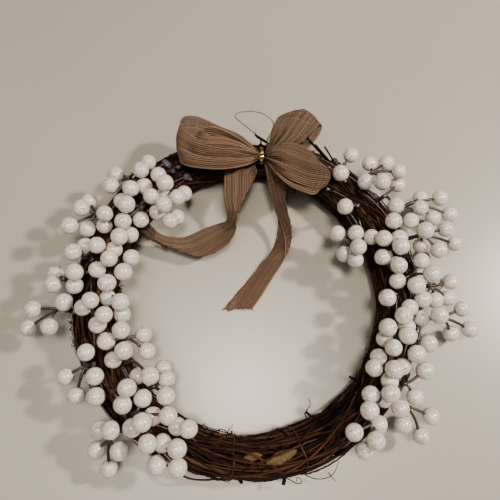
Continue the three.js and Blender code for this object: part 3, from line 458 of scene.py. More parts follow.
def add_strand(shape, rng, route, size, sides, tone=None, **rest):
    """Adds a vine or a yarn with a grain of its own. tone is how light it is, or the range for that."""
    grain = rng.uniform(0, GRAIN_SPREAD, 3)
    if tone is None:
        tone = vine_tone(rng)
    elif isinstance(tone, tuple):
        tone = rng.uniform(*tone)
    tube(shape, route, size, sides, grain=grain, tone=tone, **rest)


# Berry sprigs: the berries settle until none touches another sprig or the vines, as in the model
def offset(p, q):
    return [q[0] - p[0], q[1] - p[1], q[2] - p[2]]


def squared(way):
    return way[0] ** 2 + way[1] ** 2 + way[2] ** 2


def add_way(p, way, share):
    for n in range(3):
        p[n] += way[n] * share


def push_apart(p, q, least, share_p, share_q):
    way = offset(p, q)
    distance = math.sqrt(squared(way))
    if distance < least:
        more = (least - distance) / distance
        add_way(p, way, -share_p * more)
        add_way(q, way, share_q * more)


def nearest_along(a, b, p):
    """The share of the way from a to b at which p is nearest."""
    w = offset(a, b)
    dot = (p[0] - a[0]) * w[0] + (p[1] - a[1]) * w[1] + (p[2] - a[2]) * w[2]
    return min(max(dot / squared(w), 0.0), 1.0)


def between(a, b, t):
    return [a[0] + (b[0] - a[0]) * t, a[1] + (b[1] - a[1]) * t, a[2] + (b[2] - a[2]) * t]


def nearest_bars(one, two):
    s = 0.5
    for _ in range(4):
        t = nearest_along(two["a"], two["b"], between(one["a"], one["b"], s))
        s = nearest_along(one["a"], one["b"], between(two["a"], two["b"], t))
    return s, t


def move_bar(bar, t, way, sign):
    if not bar["fixed"]:
        add_way(bar["a"], way, sign * (1 - t))
    add_way(bar["b"], way, sign * t)


def clear_bar(bar, t, place, other, least):
    """Pushes a bar, at the share t of its length, away from a place, which is a berry or on a bar."""
    way = offset(between(bar["a"], bar["b"], t), place)
    distance = math.sqrt(squared(way))
    if distance >= least or distance < 1e-6:
        return
    half = (least - distance) / distance * 0.5
    way = [part * half for part in way]
    move_bar(bar, t, way, -1)
    if other:
        move_bar(other[0], other[1], way, 1)
    else:
        add_way(place, way, 1)


def push_off_bundle(p, least):
    way = offset(on_centre_line(p), p)
    distance = math.sqrt(squared(way))
    if distance < least:
        add_way(p, way, (least - distance) / distance)


def neighbours(berries, bars):
    """The pairs that may touch: berries, a bar and a berry, two bars. Each keeps the order of the lists."""
    spots = np.array([berry["place"] for berry in berries])
    gaps = np.linalg.norm(spots[:, None] - spots[None], axis=2)
    middles = np.array([between(bar["a"], bar["b"], 0.5) for bar in bars])
    halves = np.array([np.linalg.norm(np.subtract(bar["b"], bar["a"])) / 2 for bar in bars])
    to_berry = np.linalg.norm(middles[:, None] - spots[None], axis=2) - halves[:, None]
    to_bar = np.linalg.norm(middles[:, None] - middles[None], axis=2) - halves[:, None] - halves[None]
    berry_pairs = np.argwhere(np.triu(gaps < 2 * BERRY_RADIUS + BERRY_GAP + NEAR_ENOUGH, 1)).tolist()
    bar_berries = [(i, j) for i, j in np.argwhere(to_berry < BERRY_FACET_RADIUS + NEAR_ENOUGH).tolist()
                   if bars[i]["owner"] != berries[j]["owner"]]
    bar_pairs = [(i, j) for i, j in np.argwhere(np.triu(to_bar < NEAR_ENOUGH, 1)).tolist()
                 if bars[i]["owner"] != bars[j]["owner"]]
    return berry_pairs, bar_berries, bar_pairs


def settled_sprigs():
    sprigs = []
    berries = []
    bars = []
    for owner, (name, (hub, at, places)) in enumerate(SPRIGS.items()):
        centre = seen(hub).tolist()
        line = in_bundle(at, 90, 0)
        root = (line + unit(np.array(centre) - line) * STEM_REACH).tolist()
        sprig = {"name": name, "hub": centre, "root": root, "berries": [seen(p).tolist() for p in places]}
        bars.append({"owner": owner, "a": root, "b": centre, "radius": STEM_RADIUS, "fixed": True})
        for place in sprig["berries"]:
            berries.append({"owner": owner, "place": place})
            bars.append({"owner": owner, "a": centre, "b": place, "radius": STALK_RADIUS, "fixed": False})
        sprigs.append(sprig)
    for number in range(SETTLING_ROUNDS):
        if number % ROUNDS_A_LIST == 0:
            berry_pairs, bar_berries, bar_pairs = neighbours(berries, bars)
        for i, j in berry_pairs:
            push_apart(berries[i]["place"], berries[j]["place"], 2 * BERRY_RADIUS + BERRY_GAP, 0.5, 0.5)
        for i, j in bar_berries:
            bar, place = bars[i], berries[j]["place"]
            t = nearest_along(bar["a"], bar["b"], place)
            clear_bar(bar, t, place, None, BERRY_FACET_RADIUS + bar["radius"] + CLEARANCE)
        for i, j in bar_pairs:
            one, two = bars[i], bars[j]
            s, t = nearest_bars(one, two)
            place = between(two["a"], two["b"], t)
            clear_bar(one, s, place, (two, t), one["radius"] + two["radius"] + BAR_GAP)
        keep_off_vines(berries, bars)
    add_hidden_berries(sprigs)
    for sprig in sprigs:
        for key in ("hub", "root"):
            sprig[key] = np.array(sprig[key])
        sprig["way"] = unit(sprig["hub"] - sprig["root"])
    return sprigs


def keep_off_vines(berries, bars):
    for berry in berries:
        push_off_bundle(berry["place"], BUNDLE_RADIUS + 1.6 + BERRY_FACET_RADIUS)
        berry["place"][2] = max(berry["place"][2], BERRY_FACET_RADIUS + 1)
    for bar in bars:
        if bar["fixed"]:
            push_off_bundle(bar["b"], BUNDLE_RADIUS + 4)
            continue
        for share in (0.25, 0.5, 0.75):
            place = between(bar["a"], bar["b"], share)
            moved = list(place)
            push_off_bundle(moved, BUNDLE_RADIUS + 2.6)
            way = offset(place, moved)
            add_way(bar["a"], way, 1)
            add_way(bar["b"], way, 1)


def add_hidden_berries(sprigs):
    """Adds the berries behind others, each pushed clear of all that is there already."""
    placed_berries = [list(p) for sprig in sprigs for p in sprig["berries"]]
    for name, place in HIDDEN_BERRIES:
        berry = seen(place).tolist()
        for _ in range(SETTLING_ROUNDS):
            for other in placed_berries:
                push_apart(other, berry, 2 * BERRY_RADIUS + 0.2, 0.0, 0.6)
            push_off_bundle(berry, BUNDLE_RADIUS + BERRY_RADIUS)
        next(sprig for sprig in sprigs if sprig["name"] == name)["berries"].append(berry)
        placed_berries.append(berry)


def add_berry(shape, hub, centre, rng):
    """A round berry on the end of its stalk, slightly out of true, with a small dimple at the far end."""
    centre = np.array(centre)
    axis = unit(centre - hub)
    u = unit(any_across(axis))
    v = np.cross(axis, u)
    size = BERRY_RADIUS * rng.uniform(*BERRY_SIZES)
    length = rng.uniform(0.975, 1.02)
    dimple = rng.random() < DIMPLED
    spot = float(rng.random() < SPOTTED)
    n = BERRY_SEGMENTS
    angle = 2 * np.pi * np.arange(n) / n
    ring = u[None] * np.cos(angle)[:, None] + v[None] * np.sin(angle)[:, None]
    wide = 1 + 0.012 * np.cos(2 * angle + rng.uniform(0, 2 * np.pi))
    corners = [centre - axis * size * length]
    heights = [-1.0]
    for latitude in BERRY_LATITUDES:
        lat = math.radians(latitude)
        corners.extend(centre + axis * size * length * math.sin(lat)
                       + ring * (size * math.cos(lat) * wide)[:, None])
        heights.extend([math.sin(lat)] * n)
    corners.append(centre + axis * (size * length - (DIMPLE_DEPTH if dimple else 0.0)))
    heights.append(1.0)
    last = len(corners) - 1
    faces = [(0, 1 + (j + 1) % n, 1 + j) for j in range(n)]
    faces += bands(len(BERRY_LATITUDES), n, first=1)
    faces += [(last - n + j, last - n + (j + 1) % n, last) for j in range(n)]
    tone = rng.random()
    dots = np.zeros(len(corners))
    if rng.random() < PIN_HOLED:
        facing = [k for k in range(1 + 3 * n, len(corners) - 3 * n) if corners[k][2] > centre[2] + 3]
        dots[rng.choice(facing, 2)] = (1.0, rng.random() < 0.4)
    shape.add(corners, faces, pole=np.array(heights), spot=spot, tone=tone, dot=dots)


def add_stalks(shape, sprig, rng):
    """The stem and stalks of a sprig: wires wrapped in paper, wound together at the foot."""
    hub, root, stem = sprig["hub"], sprig["root"], sprig["way"]
    reach = np.linalg.norm(hub - root)
    steps = max(5, round(reach / 2.5))
    t = np.linspace(0, 1, steps + 1)
    wound = STEM_RADIUS * WRAPPED * (1 + 0.12 * np.sin(t * reach * 1.5 + rng.uniform(0, 6)))
    wound[-1] *= 0.8
    route = bent(root, hub + stem * 0.8, rng.normal(0, 0.35, 3), steps)
    tube(shape, route, wound, 8, wrap=t * reach, tone=rng.random())
    for place in sprig["berries"]:
        end = np.array(place)
        way = unit(end - hub)
        length = np.linalg.norm(end - hub)
        into = end - way * (BERRY_RADIUS - STALK_END)
        lean = stem - way * np.dot(stem, way)
        sag = lean * min(0.09 * length, 1.5) + rng.normal(0, 0.22, 3)
        steps = max(4, round(length / 2.6))
        t = np.linspace(0, 1, steps + 1)
        radius = STALK_RADIUS * WRAPPED * (0.94 + 0.1 * rng.random() + 0.05 * np.sin(t * length * 1.7))
        radius[0] *= 1.25
        radius[-1] *= 1.15
        tube(shape, bent(hub - stem * 1.6, into, sag, steps), radius, 7, wrap=t * length, tone=rng.random())


def add_tucked_wires(shape, sprig, rng):
    """Where a stem reaches the bundle, its wires run on along the vines and end between them."""
    foot = sprig["root"] + sprig["way"] * (BUNDLE_RADIUS - STEM_REACH + 0.2)
    ring_angle = math.degrees(math.atan2(foot[1], foot[0]))
    around = math.degrees(math.atan2(foot[2] - RING_HEIGHT, math.hypot(foot[0], foot[1]) - RING_RADIUS))
    for _ in range(rng.integers(1, 3)):
        sense = rng.choice([-1, 1])
        length = rng.uniform(8, 19)
        t = np.linspace(0, 1, round(length * 1.1) + 3)
        drift = rng.normal(0, 14)
        d = BUNDLE_RADIUS + 0.5 - 4.5 * np.clip(t - 0.75, 0, 1) * 4 * t
        places = in_bundle(ring_angle + sense * length * t, around + drift * t**1.3, d)
        lead = np.clip(1 - 5 * t, 0, 1)[:, None] ** 2
        route = places * (1 - lead) + (foot + sprig["way"] * 2.0) * lead
        wire = STALK_RADIUS * rng.uniform(0.85, 1.15) * (1 + 0.04 * np.sin(t * length * 3))
        tube(shape, route, wire, 7, wrap=t * length * 2.3, tone=rng.random())


# Vines
def turned(angle, middle):
    """How far an angle lies from another, -180 to 180."""
    return (angle - middle + 180) % 360 - 180


def inset(ring_angle, around):
    """How much nearer to the bundle's middle its surface lies, where it is slack and where the bow squeezes
    it."""
    side, side_reach, slack = SLACK_SIDE
    foot, foot_reach, more = LOOSE_PART
    bow, bow_reach, top, top_reach, depth = PINCH
    slack = slack + more * np.exp(-((turned(ring_angle, foot) / foot_reach) ** 2))
    squeeze = np.exp(-((turned(ring_angle, bow) / bow_reach) ** 2) - (turned(around, top) / top_reach) ** 2)
    return slack * np.exp(-((turned(around, side) / side_reach) ** 2)) + depth * squeeze


def on_bundle(ring_angle, around, off=0.0):
    """A place on the surface of the bundle, or off it by some distance."""
    return in_bundle(ring_angle, around, BUNDLE_RADIUS + off - inset(ring_angle, around))


def vine_tone(rng):
    """How light a vine is: most are dark reddish brown, and a few are tan."""
    return rng.uniform(0.05, 0.6) if rng.random() < 0.68 else rng.uniform(0.65, 1.1)


def wound_vine(shape, rng, start, span, around, wind, depth, radius, sides, tone, wobble=5.0, uneven=0.5,
               fine=True, dive=3.0):
    """Adds a vine wound along the bundle, with its nodes, where it swells and changes direction a little.
    wind is how far it goes round the bundle in one turn of the ring, and dive how far its ends go in."""
    knots = [-rng.uniform(0, 20)]
    while knots[-1] < span:
        knots.append(knots[-1] + rng.uniform(*VINE_NODES))
    knots = np.array(knots)
    sideways = rng.normal(0, wobble, len(knots))
    outwards = rng.normal(0, uneven, len(knots))
    stops = np.linspace(0, span, max(6, round(span / (2.7 if fine else 4.6))))
    if fine:
        at_nodes = knots[(knots > 2) & (knots < span - 2)]
        stops = np.unique(np.concatenate([stops, at_nodes - NODE_REACH, at_nodes, at_nodes + NODE_REACH]))
    b = around + wind * stops / 360 + np.interp(stops, knots, sideways)
    ends = np.minimum(np.minimum(stops, span - stops) / 7.0, 1.0)
    d = depth + np.interp(stops, knots, outwards) - dive * (1 - ends) ** 1.5
    d = d - inset(start + stops, b) * (depth / BUNDLE_RADIUS)
    nearest = np.abs(stops[:, None] - knots[None]).min(1)
    swell = 1 + 0.32 * np.clip(1 - nearest / NODE_REACH, 0, 1) if fine else 1.0
    size = radius * swell * (1 + 0.09 * np.sin(stops * 0.31 + rng.uniform(0, 6)))
    size = size * (0.55 + 0.45 * ends**0.5)
    route = held_up(in_bundle(start + stops, b, d), size + REST_GAP)
    out = route - in_bundle(start + stops, b, 0.0) + 1e-6
    add_strand(shape, rng, route, size, sides, tone, reference=out, turn=rng.random())


def make_bundle(material):
    rng = np.random.default_rng(7)
    shape = Shape()
    for layer, (depth, count, wind, mean, sides) in enumerate(LAYERS):
        for k in range(count):
            start = rng.uniform(0, 360)
            span = rng.uniform(150, 330)
            radius = mean * rng.uniform(0.68, 1.35)
            around = 360 * (k + rng.uniform(-0.25, 0.25)) / count + wind * start / 360
            out = depth - max(radius - mean, 0) + rng.normal(0, 0.3)
            # The vines under the outer ones get tones below the usual range, near black: painted shade for
            # the gaps between the vines that show.
            wound_vine(shape, rng, start, span, around, wind, out, radius, sides, rng.uniform(-0.6, 0.0),
                       wobble=120 / count, fine=layer > 2)
    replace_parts(make_piece("vine_bundle", shape, material), "vine_ring")


def make_outer_vines(material):
    """The vines that show: thinner, shorter and wilder than those below, with gaps between them."""
    rng = np.random.default_rng(8)
    shape = Shape()
    for _ in range(OUTER_VINES):
        radius = min(max(OUTER_RADIUS * math.exp(rng.normal(0, 0.38)), 0.36), 1.4)
        wind = float(np.clip(rng.normal(-40, 470), -1200, 1200))
        span = rng.uniform(45, 190)
        out = OUTER_DEPTH + rng.normal(0, 0.85) + 0.5 * (OUTER_RADIUS - radius)
        wound_vine(shape, rng, rng.uniform(0, 360), span, rng.uniform(0, 360), wind, out, radius, 5,
                   vine_tone(rng), wobble=6.5, uneven=0.85, dive=3.5)
    make_piece("outer_vines", shape, material)


def foothold(rng, at, around, off):
    """A place on the bundle, the direction out of it there, and one along it, to either side."""
    foot = on_bundle(at, around, off)
    along = unit(in_bundle(at + 1, around, 0.0) - in_bundle(at - 1, around, 0.0)) * rng.choice([-1, 1])
    return foot, unit(foot - in_bundle(at, around, 0.0)), along


def add_shoots(shape, rng, count, middle=180.0, reach=180.0):
    """Short side twigs that stand off the outer vines."""
    for _ in range(count):
        at = middle + reach * rng.uniform(-1, 1)
        foot, out, along = foothold(rng, at, rng.uniform(-35, 215), -1.4)
        way = unit(along * rng.uniform(0.2, 1.0) + out * rng.uniform(0.2, 0.9) + rng.normal(0, 0.3, 3))
        length = rng.uniform(2.0, 8.0)
        bend = (out * rng.uniform(-0.5, 0.3) + along * rng.uniform(-0.3, 0.4)) * length
        t = np.linspace(0, 1, 7)
        route = foot + way * (length * t)[:, None] + bend[None] * (t**2)[:, None]
        size = rng.uniform(0.26, 0.62) * (1 - 0.45 * t)
        add_strand(shape, rng, held_up(route, size + REST_GAP), size, 5, (0, 0.3))


def add_curls(shape, rng, count, middle=180.0, spread=180.0, sides=((-15, 40), (140, 195))):
    """Thin tendrils that coil up off the bundle's edges. They stand close together round a ring angle, and
    only the first can be as far from it as spread says."""
    for _ in range(count):
        at = middle + spread * rng.uniform(-1, 1)
        foot, out, along = foothold(rng, at, rng.uniform(*sides[rng.integers(len(sides))]), -1.0)
        side = np.cross(out, along)
        turns = rng.uniform(0.7, 2.4)
        reach = rng.uniform(3.0, 8.0)
        spread = reach
        wide = rng.uniform(0.8, 2.0)
        t = np.linspace(0, 1, round(14 * turns) + 6)
        angle = 2 * np.pi * turns * t
        grow = np.minimum(t * 3, 1) * wide
        route = (foot + along * (reach * t)[:, None] + out * (2.0 * t + grow * (1 - np.cos(angle)))[:, None]
                 + side * (grow * np.sin(angle))[:, None] * 0.7)
        size = 0.3 * (1 - 0.4 * t)
        add_strand(shape, rng, held_up(route, size + REST_GAP), size, 5, (0, 0.3))


def add_sticks(shape, rng):
    """Short straight pieces of vine with cut ends, caught among the outer vines."""
    for _ in range(STICKS):
        at = rng.normal(262, 26) if rng.random() < 0.6 else rng.uniform(0, 360)
        around = rng.uniform(-20, 190)
        turn = rng.uniform(3, 13)
        first = on_bundle(at, around, -rng.uniform(0.6, 2.5))
        last = on_bundle(at + turn, around + rng.normal(0, 26), rng.uniform(-1.0, 0.8))
        route = bent(first, last, rng.normal(0, 0.8, 3), 7)
        size = rng.uniform(0.45, 1.05) * (1 - 0.25 * np.linspace(0, 1, 8)) * (1 + 0.08 * rng.normal(0, 1, 8))
        add_strand(shape, rng, held_up(route, size + REST_GAP), size, 6)


def add_bark_strips(shape, rng):
    """Strips of bark that peel off the outer vines."""
    for _ in range(BARK_STRIPS):
        start = rng.uniform(0, 360)
        around = rng.uniform(-30, 210)
        length = rng.uniform(3.5, 11)
        stops = np.linspace(0, length, 7)
        t = stops / length
        lift = rng.uniform(0.3, 2.2)
        b = around + rng.uniform(-14, 14) * t
        route = on_bundle(start + stops * rng.choice([-1, 1]), b, lift * t**2 - 1.2)
        size = rng.uniform(0.4, 0.85) * (1 - 0.75 * t) + 0.06
        out = held_up(route, 0.4) - in_bundle(start, b, 0.0)
        add_strand(shape, rng, route, size, 4, (0.2, 1.0), reference=out, flat=0.18)


def add_twig(shape, rng, at, around, tip, radius):
    """A cut vine end that stands out of the bundle, with a swelling below its tip."""
    foot = in_bundle(at, around, BUNDLE_RADIUS - 7)
    end = seen(tip)
    length = np.linalg.norm(end - foot)
    t = np.linspace(0, 1, max(6, round(length / 2.0)) + 1)
    kink = np.interp(t, [0, 0.35, 0.7, 1], rng.normal(0, 0.6, 4))
    side = unit(np.cross(end - foot, [0.3, 0.2, 1.0]))
    route = foot + (end - foot) * t[:, None] + side * (kink * np.minimum(1, 4 * (1 - t)))[:, None]
    size = radius * (1.0 - 0.1 * t + 0.25 * np.exp(-(((t - 0.62) * length / 1.5) ** 2)))
    size[-1] = size[-2] * 1.15
    add_strand(shape, rng, route, size, 8, (0, 0.2))


def add_hanging_vine(shape, rng):
    """A vine that hangs loose on the outer side, where the bundle is thinner, with its ends caught in it."""
    start = rng.normal(LOOSE_PART[0] - 12, 24)
    span = rng.uniform(14, 42)
    stops = np.linspace(0, span, round(span / 2.2) + 4)
    knots = np.linspace(0, span, max(4, round(span / 6)))
    sideways = rng.normal(0, 7, len(knots))
    b = rng.uniform(-40, 30) + rng.normal(0, 22) * stops / span + np.interp(stops, knots, sideways)
    d = rng.uniform(9.0, 19.5) + np.interp(stops, knots, rng.normal(0, 1.6, len(knots)))
    hold = np.sin(np.pi * stops / span) ** 0.6
    caught = BUNDLE_RADIUS - 1.6 - inset(start + stops, b)
    route = in_bundle(start + stops, b, hold * d + (1 - hold) * caught)
    size = rng.uniform(0.36, 0.95) * (1 + 0.1 * np.sin(stops * 0.9)) * (0.5 + 0.5 * hold)
    # These vines are drawn lighter on the whole than the others: painted light, for vines that hang low in
    # shade.
    add_strand(shape, rng, held_up(route, size + REST_GAP), size, 6, (0.2, 1.1))


def make_loose_vines(material):
    rng = np.random.default_rng(11)
    shape = Shape()
    for start, end, b0, b1, lift, radius in LOOSE_VINES:
        span = end - start
        stops = np.linspace(0, span, round(span / 2.0))
        t = stops / span
        proud = np.sin(np.pi * t) ** 0.5
        d = BUNDLE_RADIUS - 5 + (4.4 + lift - radius * 0.6) * proud
        knots = np.linspace(0, 1, max(3, round(span / 17)))
        b = b0 + (b1 - b0) * t + np.interp(t, knots, rng.normal(0, 3.4, len(knots)))
        near = np.abs(t[:, None] - knots[None]).min(1) * span
        size = radius * 0.62 * (1 + 0.25 * np.exp(-((near / 1.6) ** 2)))
        route = held_up(in_bundle(start + stops, b, d - 0.8 * inset(start + stops, b)), size)
        add_strand(shape, rng, route, size * (0.4 + 0.6 * proud**0.4), 8)
    for _ in range(CROSSING_VINES):
        wind = rng.choice([-1, 1]) * rng.uniform(250, 1250)
        wound_vine(shape, rng, rng.uniform(0, 360), rng.uniform(20, 80), rng.uniform(-30, 200), wind,
                   BUNDLE_RADIUS - 0.4 + rng.uniform(-0.9, 0.7), rng.uniform(0.36, 0.8), 6, vine_tone(rng),
                   wobble=6.0, uneven=0.7, dive=4.5)
    for _ in range(RAGGED_VINES):
        start = RAGGED[0] + rng.uniform(-26, 8)
        wind = rng.choice([-1, 1]) * rng.uniform(60, 700)
        wound_vine(shape, rng, start, rng.uniform(10, 34), rng.uniform(50, 215), wind,
                   BUNDLE_RADIUS + rng.uniform(-0.8, 1.4), rng.uniform(0.34, 0.7), 6, vine_tone(rng),
                   uneven=1.0, dive=rng.uniform(-1.5, 4.0))
    for _ in range(HANGING_VINES):
        add_hanging_vine(shape, rng)
    for places in STRAY_VINES:
        route = evenly(places, 2.2)
        t = np.linspace(0, 1, len(route))
        route = route + rng.normal(0, 0.22, route.shape)
        size = rng.uniform(0.6, 0.95) * (0.6 + 0.4 * np.sin(np.pi * t) ** 0.5)
        size = size * (1 + 0.12 * rng.normal(0, 1, len(route)).clip(-1, 1.5))
        add_strand(shape, rng, held_up(route, size + REST_GAP), size, 7, (0.55, 1.1))
    for twig in TWIGS:
        add_twig(shape, rng, *twig)
    for places in TENDRILS:
        route = evenly(places, 1.1)
        add_strand(shape, rng, route, 0.46 * (1 - 0.45 * np.linspace(0, 1, len(route))), 6, (0, 0.25))
    add_sticks(shape, rng)
    add_shoots(shape, rng, SHOOTS)
    add_curls(shape, rng, CURLS)
    add_curls(shape, rng, 30, *TANGLE, sides=((-35, 45),))
    add_shoots(shape, rng, 30, *TANGLE)
    add_shoots(shape, rng, 45, *RAGGED)
    add_curls(shape, rng, 10, *RAGGED, sides=((140, 200),))
    add_bark_strips(shape, rng)
    make_piece("loose_vines", shape, material)


# Ribbon
def bulged(share, creases):
    """Half waves between the creases, each as high as it is wide."""
    stops = [0.0, *creases, 1.0]
    wave = np.zeros_like(share)
    for low, high in zip(stops, stops[1:]):
        inside = (share >= low) & (share <= high)
        wave[inside] = (high - low) * np.sin(np.pi * (share[inside] - low) / (high - low))
    return smoothed(wave, 2)


def softened(profile):
    """Rounds the corners of the profiles of all rows."""
    padded = np.pad(profile, ((0, 0), (3, 3)), mode="reflect", reflect_type="odd")
    return sum(padded[:, k:k + profile.shape[1]] for k in range(7)) / 7


def solved_height(form, width):
    """The height at which a bulged profile has the ribbon's whole width in each row."""
    low = np.zeros(len(width))
    high = 0.8 * width + 1.0
    across = width[:, None] / (PROFILE_STEPS - 1)
    for _ in range(20):
        height = (low + high) / 2
        rise = np.diff(height[:, None] * form, axis=1)
        length = np.sqrt(rise**2 + across**2).sum(1)
        high = np.where(length > RIBBON_WIDTH, height, high)
        low = np.where(length > RIBBON_WIDTH, low, height)
    return smoothed(np.maximum(height, 0.3), 5)[:, None]


def stretch_grid(name, stations, side, creases, lie, rng):
    """The places of the yarn crossings on one stretch of ribbon, and the direction out of the cloth. Near
    the knot it is pleated. Further out a loop bulges and a tail is folded over along its length, so that
    the ribbon keeps its width all along."""
    edge_a = [seen(s[:3]) for s in stations]
    edge_b = [seen(s[3:]) for s in stations]
    fine = np.linspace(0, 1, 500)
    run = run_along((along_curve(edge_a, fine) + along_curve(edge_b, fine)) / 2)
    rows = round(run[-1] / WEFT_PITCH) + 1
    run_rows = np.linspace(0, run[-1], rows)
    run_rows[1:-1] += rng.normal(0, 0.05, rows - 2)
    turns = np.interp(run_rows, run, fine)
    a = along_curve(edge_a, turns)
    ahead = np.minimum(turns + 0.01, 1)
    back = np.maximum(turns - 0.01, 0)
    tangent = (along_curve(edge_a, ahead) + along_curve(edge_b, ahead)
               - along_curve(edge_a, back) - along_curve(edge_b, back))
    chord = along_curve(edge_b, turns) - a
    width = np.linalg.norm(chord, axis=1)
    normal = unit(np.cross(tangent, chord))
    share = np.linspace(0, 1, PROFILE_STEPS)
    pleats = np.zeros((rows, PROFILE_STEPS))
    for number in PLEATS:
        phase = rng.uniform(0, 2 * np.pi)
        drift = rng.uniform(-0.006, 0.006)
        waves = number * share[None] + drift * run_rows[:, None]
        pleats += np.sin(2 * np.pi * waves + phase) / number**0.5
    pleats *= np.sin(np.pi * share)[None] ** 0.35
    if lie == "loop":
        from_knot = np.minimum(run_rows, run[-1] - run_rows)
        behind = np.clip(1 - 2.4 * run_rows / run[-1], 0, 1)
    else:
        from_knot = run_rows
        behind = np.zeros(rows)
    near = 0.05 + 0.95 * np.maximum(np.exp(-from_knot / PLEAT_REACH), behind)[:, None]
    across = np.repeat(share[None], rows, axis=0)
    if lie == "loop":
        past_end = np.clip((run_rows - 0.5 * run[-1]) / CREASE_FADE, 0, 1)
        creased = (past_end**2 * (3 - 2 * past_end))[:, None]
        bulge = creased * bulged(share, creases)[None] + (1 - creased) * bulged(share, [])[None]
        form = side * (1 - near) * bulge + 0.45 * near * pleats
        profile = solved_height(form, width) * form * (1 - 0.35 * near)
        for crease in creases:
            notch = np.exp(-(((share[None] - crease) / 0.022) ** 2))
            profile = profile - side * CREASE_DEPTH * creased * notch
    else:
        # Folded to and fro between the two edges, one ply on the other
        first, last, plies = FOLD_SLIDE[name]
        slide = plies * np.clip((run_rows - first) / (last - first), 0, 1)
        ply = RIBBON_WIDTH / np.maximum(width, 7.0)[:, None] * share[None] + slide[:, None]
        zigzag = 1 - np.abs(1 - ply % 2)
        flat_fold = side * PLY_GAP * ply + 0.25 * np.sin(share[None] * 9 + run_rows[:, None] * 0.05)
        mostly = near**1.5
        across = softened(mostly * across + (1 - mostly) * zigzag)
        pleated = solved_height(0.45 * pleats, width) * 0.3 * pleats
        profile = softened(mostly * pleated + (1 - mostly) * flat_fold)
    places = a[:, None] + chord[:, None] * across[:, :, None] + normal[:, None] * profile[:, :, None]
    steps = np.linalg.norm(np.diff(places, axis=1), axis=2)
    reach = np.concatenate([np.zeros((rows, 1)), np.cumsum(steps, axis=1)], axis=1)
    even = EDGE_INSET + (1 - 2 * EDGE_INSET) * (np.arange(WARP_COUNT) + 0.5) / WARP_COUNT
    even += rng.normal(0, 0.002, WARP_COUNT)
    shares = np.concatenate([EDGE_SHARES, even, 1 - np.array(EDGE_SHARES[::-1])])
    grid = np.empty((rows, len(shares), 3))
    for i in range(rows):
        for n in range(3):
            grid[i, :, n] = np.interp(shares * reach[i, -1], reach[i], places[i, :, n])
    held_up(grid, 0.8)
    return grid, unit(np.cross(np.gradient(grid, axis=0), np.gradient(grid, axis=1)))


def add_warp(shape, route, reference, edge, fray, rng):
    """One yarn along the ribbon, with a loose end where it is frayed."""
    if fray:
        way = unit(route[-1] - route[-3])
        point = route[-1]
        ends = []
        for _ in range(3):
            point = point + way * rng.uniform(0.4, fray / 3) + rng.normal(0, 0.16 * fray, 3)
            ends.append(point)
        route = np.concatenate([route, held_up(np.array(ends), 0.6)])
        reference = np.concatenate([reference, np.repeat(reference[-1:], 3, axis=0)])
    size = WARP_YARN * (1.05 if edge else rng.uniform(0.84, 1.02)) * np.ones(len(route))
    if fray:
        size[-4:] *= (0.9, 0.62, 0.5, 0.25)
    tube(shape, route, size, 3, reference=reference, flat=YARN_FLAT, turn=0.25,
         grain=rng.uniform(0, GRAIN_SPREAD, 3), tone=rng.uniform(0.3, 1.0) + (0.1 if edge else 0.0))


def add_weave(shape, grid, out, rng, fray):
    """Yarns along and across one stretch. The cross yarns go over and under the others in turn."""
    rows, columns = grid.shape[:2]
    for j in range(columns):
        add_warp(shape, grid[::2, j], out[::2, j], j < 2 or j >= columns - 2, fray, rng)
    over = np.where((np.arange(rows)[:, None] + np.arange(columns)[None]) % 2 == 0, 1.0, -1.0)
    for i in range(rows):
        route = grid[i] + out[i] * (over[i] * WEAVE_DEPTH)[:, None]
        add_strand(shape, rng, route, WEFT_YARN * rng.uniform(0.85, 1.0), 3, (-0.15, 0.15),
                   reference=out[i], flat=0.5 * YARN_FLAT, turn=0.25)


def make_ribbon(material):
    rng = np.random.default_rng(23)
    shape = Shape()
    for name, (stations, side, creases, lie) in RIBBON.items():
        grid, out = stretch_grid(name, stations, side, creases, lie, rng)
        add_weave(shape, grid, out, rng, TAIL_FRAY.get(name, 0.0))
    ribbon = make_piece("ribbon_cloth", shape, material)
    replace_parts(ribbon, "ribbon_bow")


# Tie, bead and hanger
def make_tie(material):
    """Three turns of wire round the pinch of the bow, with its ends twisted together behind it."""
    shape = Shape()
    radius = 0.5
    turns = 3
    half = 1.2
    t = np.linspace(0, 1, 28 * turns + 1)
    angle = 2 * np.pi * turns * t - np.pi / 2
    route = np.stack([KNOT[0] - half + 2 * half * t, KNOT[1] + (TIE[0] + 0.1) * np.cos(angle),
                      KNOT[2] + (TIE[1] + 0.1) * np.sin(angle)], -1)
    tube(shape, route, radius, 8)
    for side in (0.0, np.pi):
        s = np.linspace(0, 1, 22)
        twist = 2 * np.pi * 1.5 * s + side
        tail = np.stack([KNOT[0] + 0.6 * np.cos(twist), KNOT[1] + 0.6 * np.sin(twist) + 1.5 * s,
                         KNOT[2] - TIE[1] - 2.6 * s], -1)
        tube(shape, tail, radius * 0.9, 6)
    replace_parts(make_piece("tie_turns", shape, material), "tie_wire")


